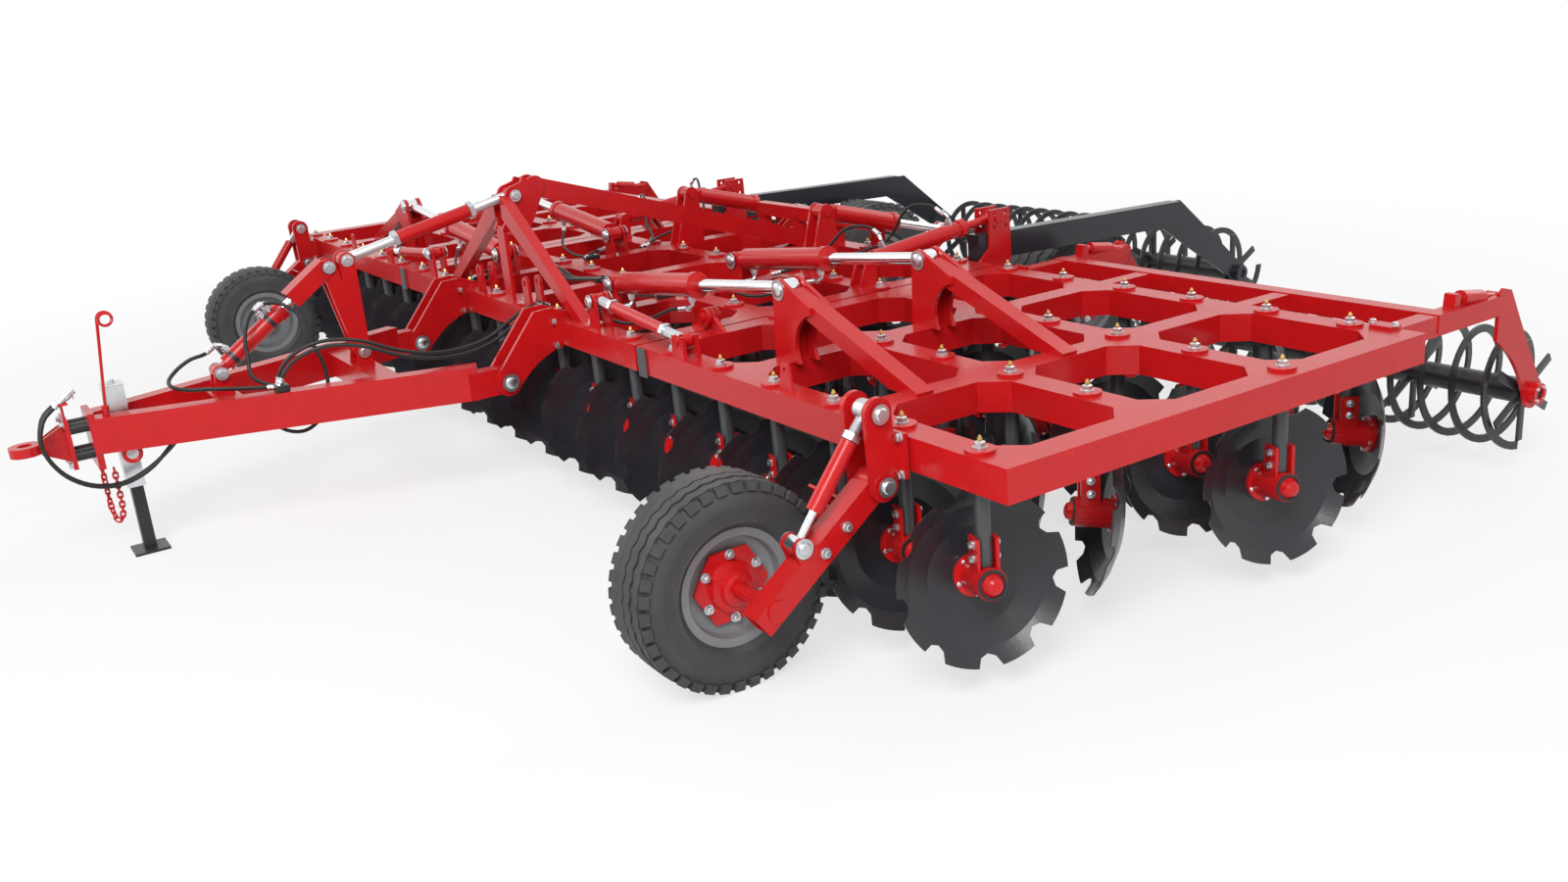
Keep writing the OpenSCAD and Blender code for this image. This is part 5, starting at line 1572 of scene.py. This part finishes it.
@dataclass
class Nose:
    """What sits on the drawbar's nose: couplers and their hoses, hook stand, jack head, lug and chain."""

    stand_radius: float = 0.007
    pigtail: float = 0.030
    link_radius: float = 0.0045
    link_long: float = 0.042
    link_bend: float = 0.0105

    def build(self, shop: Workshop) -> None:
        """Builds the nose's pieces.

        Args:
            shop: The workshop with the frame.
        """
        self.add_couplers(shop)
        self.add_stand(shop)
        self.add_jack_head(shop)
        self.add_lug(shop)
        self.add_chain(shop)

    def add_couplers(self, shop: Workshop) -> None:
        """Adds the parked couplers on their holder, with the hoses that come to them.

        Args:
            shop: The workshop with the frame.
        """
        holder = bmesh.new()
        top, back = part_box("hitch_eye")[1][2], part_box("hitch_buffers")[0][1]
        add_box(holder, (0.030, back - 0.016, top - 0.060), (0.078, back - 0.006, top + 0.085), edge=0.003)
        add_box(holder, (0.020, back - 0.030, top + 0.075), (0.130, back + 0.014, top + 0.085), edge=0.003)
        shop.piece("coupler_holder", holder, RED, "drawbar")
        way = Vector((0, 0.80, 0.60)).normalized()
        for k, x in enumerate((0.048, 0.102)):
            seat = Vector((x, back - 0.030, top + 0.078))
            shape = bmesh.new()
            add_ring(shape, frame_at(seat, way), [
                (0.004, -0.016), (0.012, -0.016), (0.0135, 0.010), (0.018, 0.014), (0.018, 0.034),
                (0.0155, 0.037), (0.0155, 0.044), (0.0205, 0.047), (0.0205, 0.082), (0.0185, 0.086),
                (0.0185, 0.098), (0.004, 0.098),
            ], 24)
            wire = seat + way * 0.09 + Vector((0.021, 0.0, -0.014))
            add_sweep(shape, circle_route(wire, ACROSS, UPWARD, 0.020, 16), 0.0014, 6, loop=True)
            coupler = shop.piece(f"hose_coupler_{k}", shape, ZINC, "drawbar", smooth=True)
            start = seat - way * 0.014
            off = 0.024 * k
            Hose(f"tractor_hose_{k}", [
                (0.160, -2.720, 0.630 + off), (0.138, -2.800, 0.575 + off),
                (0.116 + off / 2, -2.885, 0.495 + off / 2), (0.112 + off, -2.990, 0.425),
                (0.124 + off, -3.110, 0.388), (0.134 + off, -3.225, 0.405), (0.136 + off, -3.325, 0.470),
                (0.128 + off, -3.385, 0.560), (0.112 + off, -3.405, 0.655), (x + 0.012, -3.375, 0.745),
                tuple(start - way * 0.045), tuple(start),
            ], "drawbar", far_end="connector", count=40, ferrules=False).build(shop, [coupler])
        clip = bmesh.new()
        add_box(clip, (0.146, -2.738, 0.612), (0.186, -2.702, 0.672), edge=0.004)
        shop.piece("tractor_hose_clip", clip, BLACK, "drawbar")

    def add_stand(self, shop: Workshop) -> None:
        """Adds the thin stand whose pigtail holds the hoses up.

        Args:
            shop: The workshop with the frame.
        """
        foot, head = Vector((0.088, -3.115, 0.706)), Vector((0.088, -3.060, 1.155))
        path = [foot.lerp(head, share) for share in (0.0, 0.3, 0.6, 0.9)]
        for k in range(15):
            turn, curl = math.radians(180 - 36 * k), self.pigtail
            off = Vector((0.0045 * k, curl + curl * math.cos(turn), curl * math.sin(turn)))
            path.append(head + off)
        shape = bmesh.new()
        add_sweep(shape, smooth_route([tuple(p) for p in path], 72), self.stand_radius, 8)
        add_disc(shape, frame_at(foot, head - foot), 0.016, 0.0, 0.050, 12)
        shop.piece("hose_stand", shape, RED, "drawbar", smooth=True)

    def add_jack_head(self, shop: Workshop) -> None:
        """Adds the cap, crank stub and locking pin of the parking jack.

        Args:
            shop: The workshop with the frame.
        """
        low, high = box_of("jack_tube")
        middle, lid, rim = (low.y + high.y) / 2, high.z + 0.006, 0.003
        shape = bmesh.new()
        add_box(shape, (low.x - rim, low.y - rim, high.z), (high.x + rim, high.y + rim, lid), edge=0.002)
        add_bolt(shape, frame_at(Vector((0, middle, lid)), UPWARD), 0.015)
        pin = Vector((0, middle + 0.005, high.z - 0.135))
        for start, end in ((-0.062, low.x), (high.x, 0.066)):
            add_disc(shape, frame_at(pin, ACROSS), 0.009, start, end, 12)
        ring = circle_route(pin + Vector((0.060, 0, -0.020)), ALONG, UPWARD, 0.022, 20)
        add_sweep(shape, ring, 0.0025, 6, loop=True)
        shop.piece("jack_head", shape, ZINC, "drawbar")

    def add_lug(self, shop: Workshop) -> None:
        """Adds the lashing ring under the near beam.

        Args:
            shop: The workshop with the frame.
        """
        shape = bmesh.new()
        ring = circle_route(Vector((0.118, -3.045, 0.512)), UPWARD, ALONG, 0.036, 28)
        add_sweep(shape, ring, 0.010, 10, loop=True)
        shop.piece("lashing_ring", shape, RED, "drawbar", smooth=True)

    def add_chain(self, shop: Workshop) -> None:
        """Adds the safety chain that hangs doubled below the nose.

        Args:
            shop: The workshop with the frame.
        """
        path = smooth_route([
            (0.088, -3.183, 0.475), (0.090, -3.184, 0.380), (0.094, -3.183, 0.270), (0.098, -3.172, 0.215),
            (0.100, -3.160, 0.205), (0.102, -3.148, 0.215), (0.104, -3.138, 0.270), (0.104, -3.136, 0.380),
            (0.102, -3.136, 0.470),
        ], 300)
        shape = bmesh.new()
        step = self.link_long - 4 * self.link_radius
        walked, count, last = 0.0, 0, path[0]
        for place, after in zip(path, path[1:]):
            walked += (place - last).length
            last = place
            if walked < count * step:
                continue
            at = frame_at(place, after - place) @ Matrix.Rotation(math.pi / 2 * (count % 2), 4, "Z")
            half, bend = self.link_long / 2 - self.link_radius, self.link_bend
            oval = []
            for i in range(16):
                a = math.tau * i / 16
                lift = (half - bend) * (1 if math.sin(a) >= 0 else -1)
                oval.append(at @ Vector((bend * math.cos(a), 0, bend * math.sin(a) + lift)))
            add_sweep(shape, oval, self.link_radius, 6, loop=True)
            count += 1
        shop.piece("safety_chain", shape, RED, "drawbar", smooth=True)


@dataclass
class Studio:
    """The pale floor, the soft lights and the camera at the photograph's angle."""

    eye: Point = (6.987, -3.774, 2.278)
    azimuth: float = math.radians(57.81)
    drop: float = math.radians(17.66)
    roll: float = math.radians(-4.85)
    focal_pixels: float = 1405.0
    frame_pixels: float = 1600.0
    sensor: float = 36.0
    floor_half: float = 60.0
    floor_grey: float = 0.86
    floor_roughness: float = 0.9
    fade: tuple[float, float] = (4.5, 9.0)
    near_white: float = 0.68
    surround: float = 0.38
    far_clip: float = 200.0

    def build(self) -> None:
        """Builds the stage."""
        self.add_camera()
        self.add_floor()
        self.add_lights()
        bpy.context.scene.view_settings.view_transform = "Standard"

    def add_camera(self) -> None:
        """Places the camera."""
        data = bpy.data.cameras.new("photo_camera")
        data.sensor_width = self.sensor
        data.lens = self.sensor * self.focal_pixels / self.frame_pixels
        data.clip_end = self.far_clip
        a, e, r = self.azimuth, self.drop, self.roll
        back = Vector((math.sin(a) * math.cos(e), -math.cos(a) * math.cos(e), math.sin(e)))
        right = Vector((math.cos(a), math.sin(a), 0.0))
        up = back.cross(right)
        turned = right * math.cos(r) + up * math.sin(r)
        risen = up * math.cos(r) - right * math.sin(r)
        camera = bpy.data.objects.new("photo_camera", data)
        camera.matrix_world = Matrix(
            ((turned.x, risen.x, back.x, self.eye[0]), (turned.y, risen.y, back.y, self.eye[1]),
             (turned.z, risen.z, back.z, self.eye[2]), (0, 0, 0, 1))
        )
        bpy.context.scene.collection.objects.link(camera)
        bpy.context.scene.camera = camera

    def seen_rays(self, tree: bpy.types.NodeTree) -> bpy.types.NodeSocket:
        """Adds nodes that tell the rays that see the backdrop from those that light the object.

        Args:
            tree: The tree that gets the nodes.

        Returns:
            A socket that is 1 for camera, glossy and transmission rays.
        """
        rays = add_node(tree, "LightPath")
        mirrored = add_node(tree, "Math", operation="MAXIMUM")
        tree.links.new(rays.outputs["Is Glossy Ray"], mirrored.inputs[0])
        tree.links.new(rays.outputs["Is Transmission Ray"], mirrored.inputs[1])
        shown = add_node(tree, "Math", operation="MAXIMUM")
        tree.links.new(rays.outputs["Is Camera Ray"], shown.inputs[0])
        tree.links.new(mirrored.outputs[0], shown.inputs[1])
        return shown.outputs[0]

    def add_floor(self) -> None:
        """Lays the pale floor."""
        shape = bmesh.new()
        bmesh.ops.create_grid(shape, x_segments=1, y_segments=1, size=self.floor_half)
        mesh = bpy.data.meshes.new("studio_floor")
        shape.to_mesh(mesh)
        shape.free()
        floor = bpy.data.objects.new("studio_floor", mesh)
        bpy.context.scene.collection.objects.link(floor)
        material = bpy.data.materials.new("pale_floor")
        material.use_nodes = True
        tree = material.node_tree
        shader = tree.nodes["Principled BSDF"]
        shader.inputs["Base Color"].default_value = (*[self.floor_grey] * 3, 1.0)
        shader.inputs["Roughness"].default_value = self.floor_roughness
        white = add_node(tree, "Emission")
        place = add_node(tree, "TexCoord")
        away = add_node(tree, "VectorMath", operation="LENGTH")
        tree.links.new(place.outputs["Object"], away.inputs[0])
        fade = add_node(
            tree, "MapRange", interpolation_type="SMOOTHSTEP", From_Min=self.fade[0],
            From_Max=self.fade[1], To_Min=self.near_white, To_Max=1.0
        )
        tree.links.new(away.outputs["Value"], fade.inputs["Value"])
        share = add_node(tree, "Math", operation="MULTIPLY")
        tree.links.new(self.seen_rays(tree), share.inputs[0])
        tree.links.new(fade.outputs[0], share.inputs[1])
        mix = add_node(tree, "MixShader")
        tree.links.new(share.outputs[0], mix.inputs["Fac"])
        tree.links.new(shader.outputs[0], mix.inputs[1])
        tree.links.new(white.outputs[0], mix.inputs[2])
        tree.links.new(mix.outputs[0], tree.nodes["Material Output"].inputs["Surface"])
        mesh.materials.append(material)

    def add_lights(self) -> None:
        """Hangs the key, fill and back lights and the pale surround."""
        for name, place, size, power in (
            ("key_light", (9.0, -7.0, 9.0), 6.0, 1350.0),
            ("fill_light", (-9.0, -8.0, 7.0), 9.0, 420.0),
            ("back_light", (2.0, 11.0, 8.0), 8.0, 480.0),
        ):
            data = bpy.data.lights.new(name, "AREA")
            data.size = size
            data.energy = power
            lamp = bpy.data.objects.new(name, data)
            lamp.location = place
            lamp.rotation_euler = Vector(place).to_track_quat("Z", "Y").to_euler()
            bpy.context.scene.collection.objects.link(lamp)
        world = bpy.data.worlds.new("pale_surround")
        world.use_nodes = True
        tree = world.node_tree
        surround = tree.nodes["Background"]
        surround.inputs["Color"].default_value = (1.0, 1.0, 1.0, 1.0)
        surround.inputs["Strength"].default_value = self.surround
        seen = add_node(tree, "Background")
        seen.inputs["Color"].default_value = (1.0, 1.0, 1.0, 1.0)
        mix = add_node(tree, "MixShader")
        tree.links.new(self.seen_rays(tree), mix.inputs["Fac"])
        tree.links.new(surround.outputs[0], mix.inputs[1])
        tree.links.new(seen.outputs[0], mix.inputs[2])
        tree.links.new(mix.outputs[0], tree.nodes["World Output"].inputs["Surface"])
        bpy.context.scene.world = world


def main() -> None:
    """Loads the frame, dresses it and sets the stage."""
    logging.basicConfig(level=logging.INFO, format="%(message)s")
    for left_over in list(bpy.data.objects):
        bpy.data.objects.remove(left_over)
    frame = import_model()
    groups = Groups()
    shop = Workshop(frame, {finish.name: finish.material(groups) for finish in FINISHES})
    Studio().build()
    shop.paint_nodes()
    for section in Section:
        LegFittings().build(shop, section)
    for side, outward in SIDES:
        for kind, rim_radius, blocks in (("gauge", 0.215, 38), ("road", 0.210, 40)):
            name = f"{side}_{kind}"
            Wheel(f"{name}_tyre", f"{name}_rim", f"{name}_wheel", rim_radius, outward, blocks).build(shop)
    for name in ("left_roller", "centre_roller", "right_roller"):
        CageRoller(name, name).build(shop)
    for fittings in (RodCover(), PinHeads(), ThreadedEnds(), Fasteners(), Plumbing(), Nose()):
        fittings.build(shop)


if __name__ == "__main__":
    main()
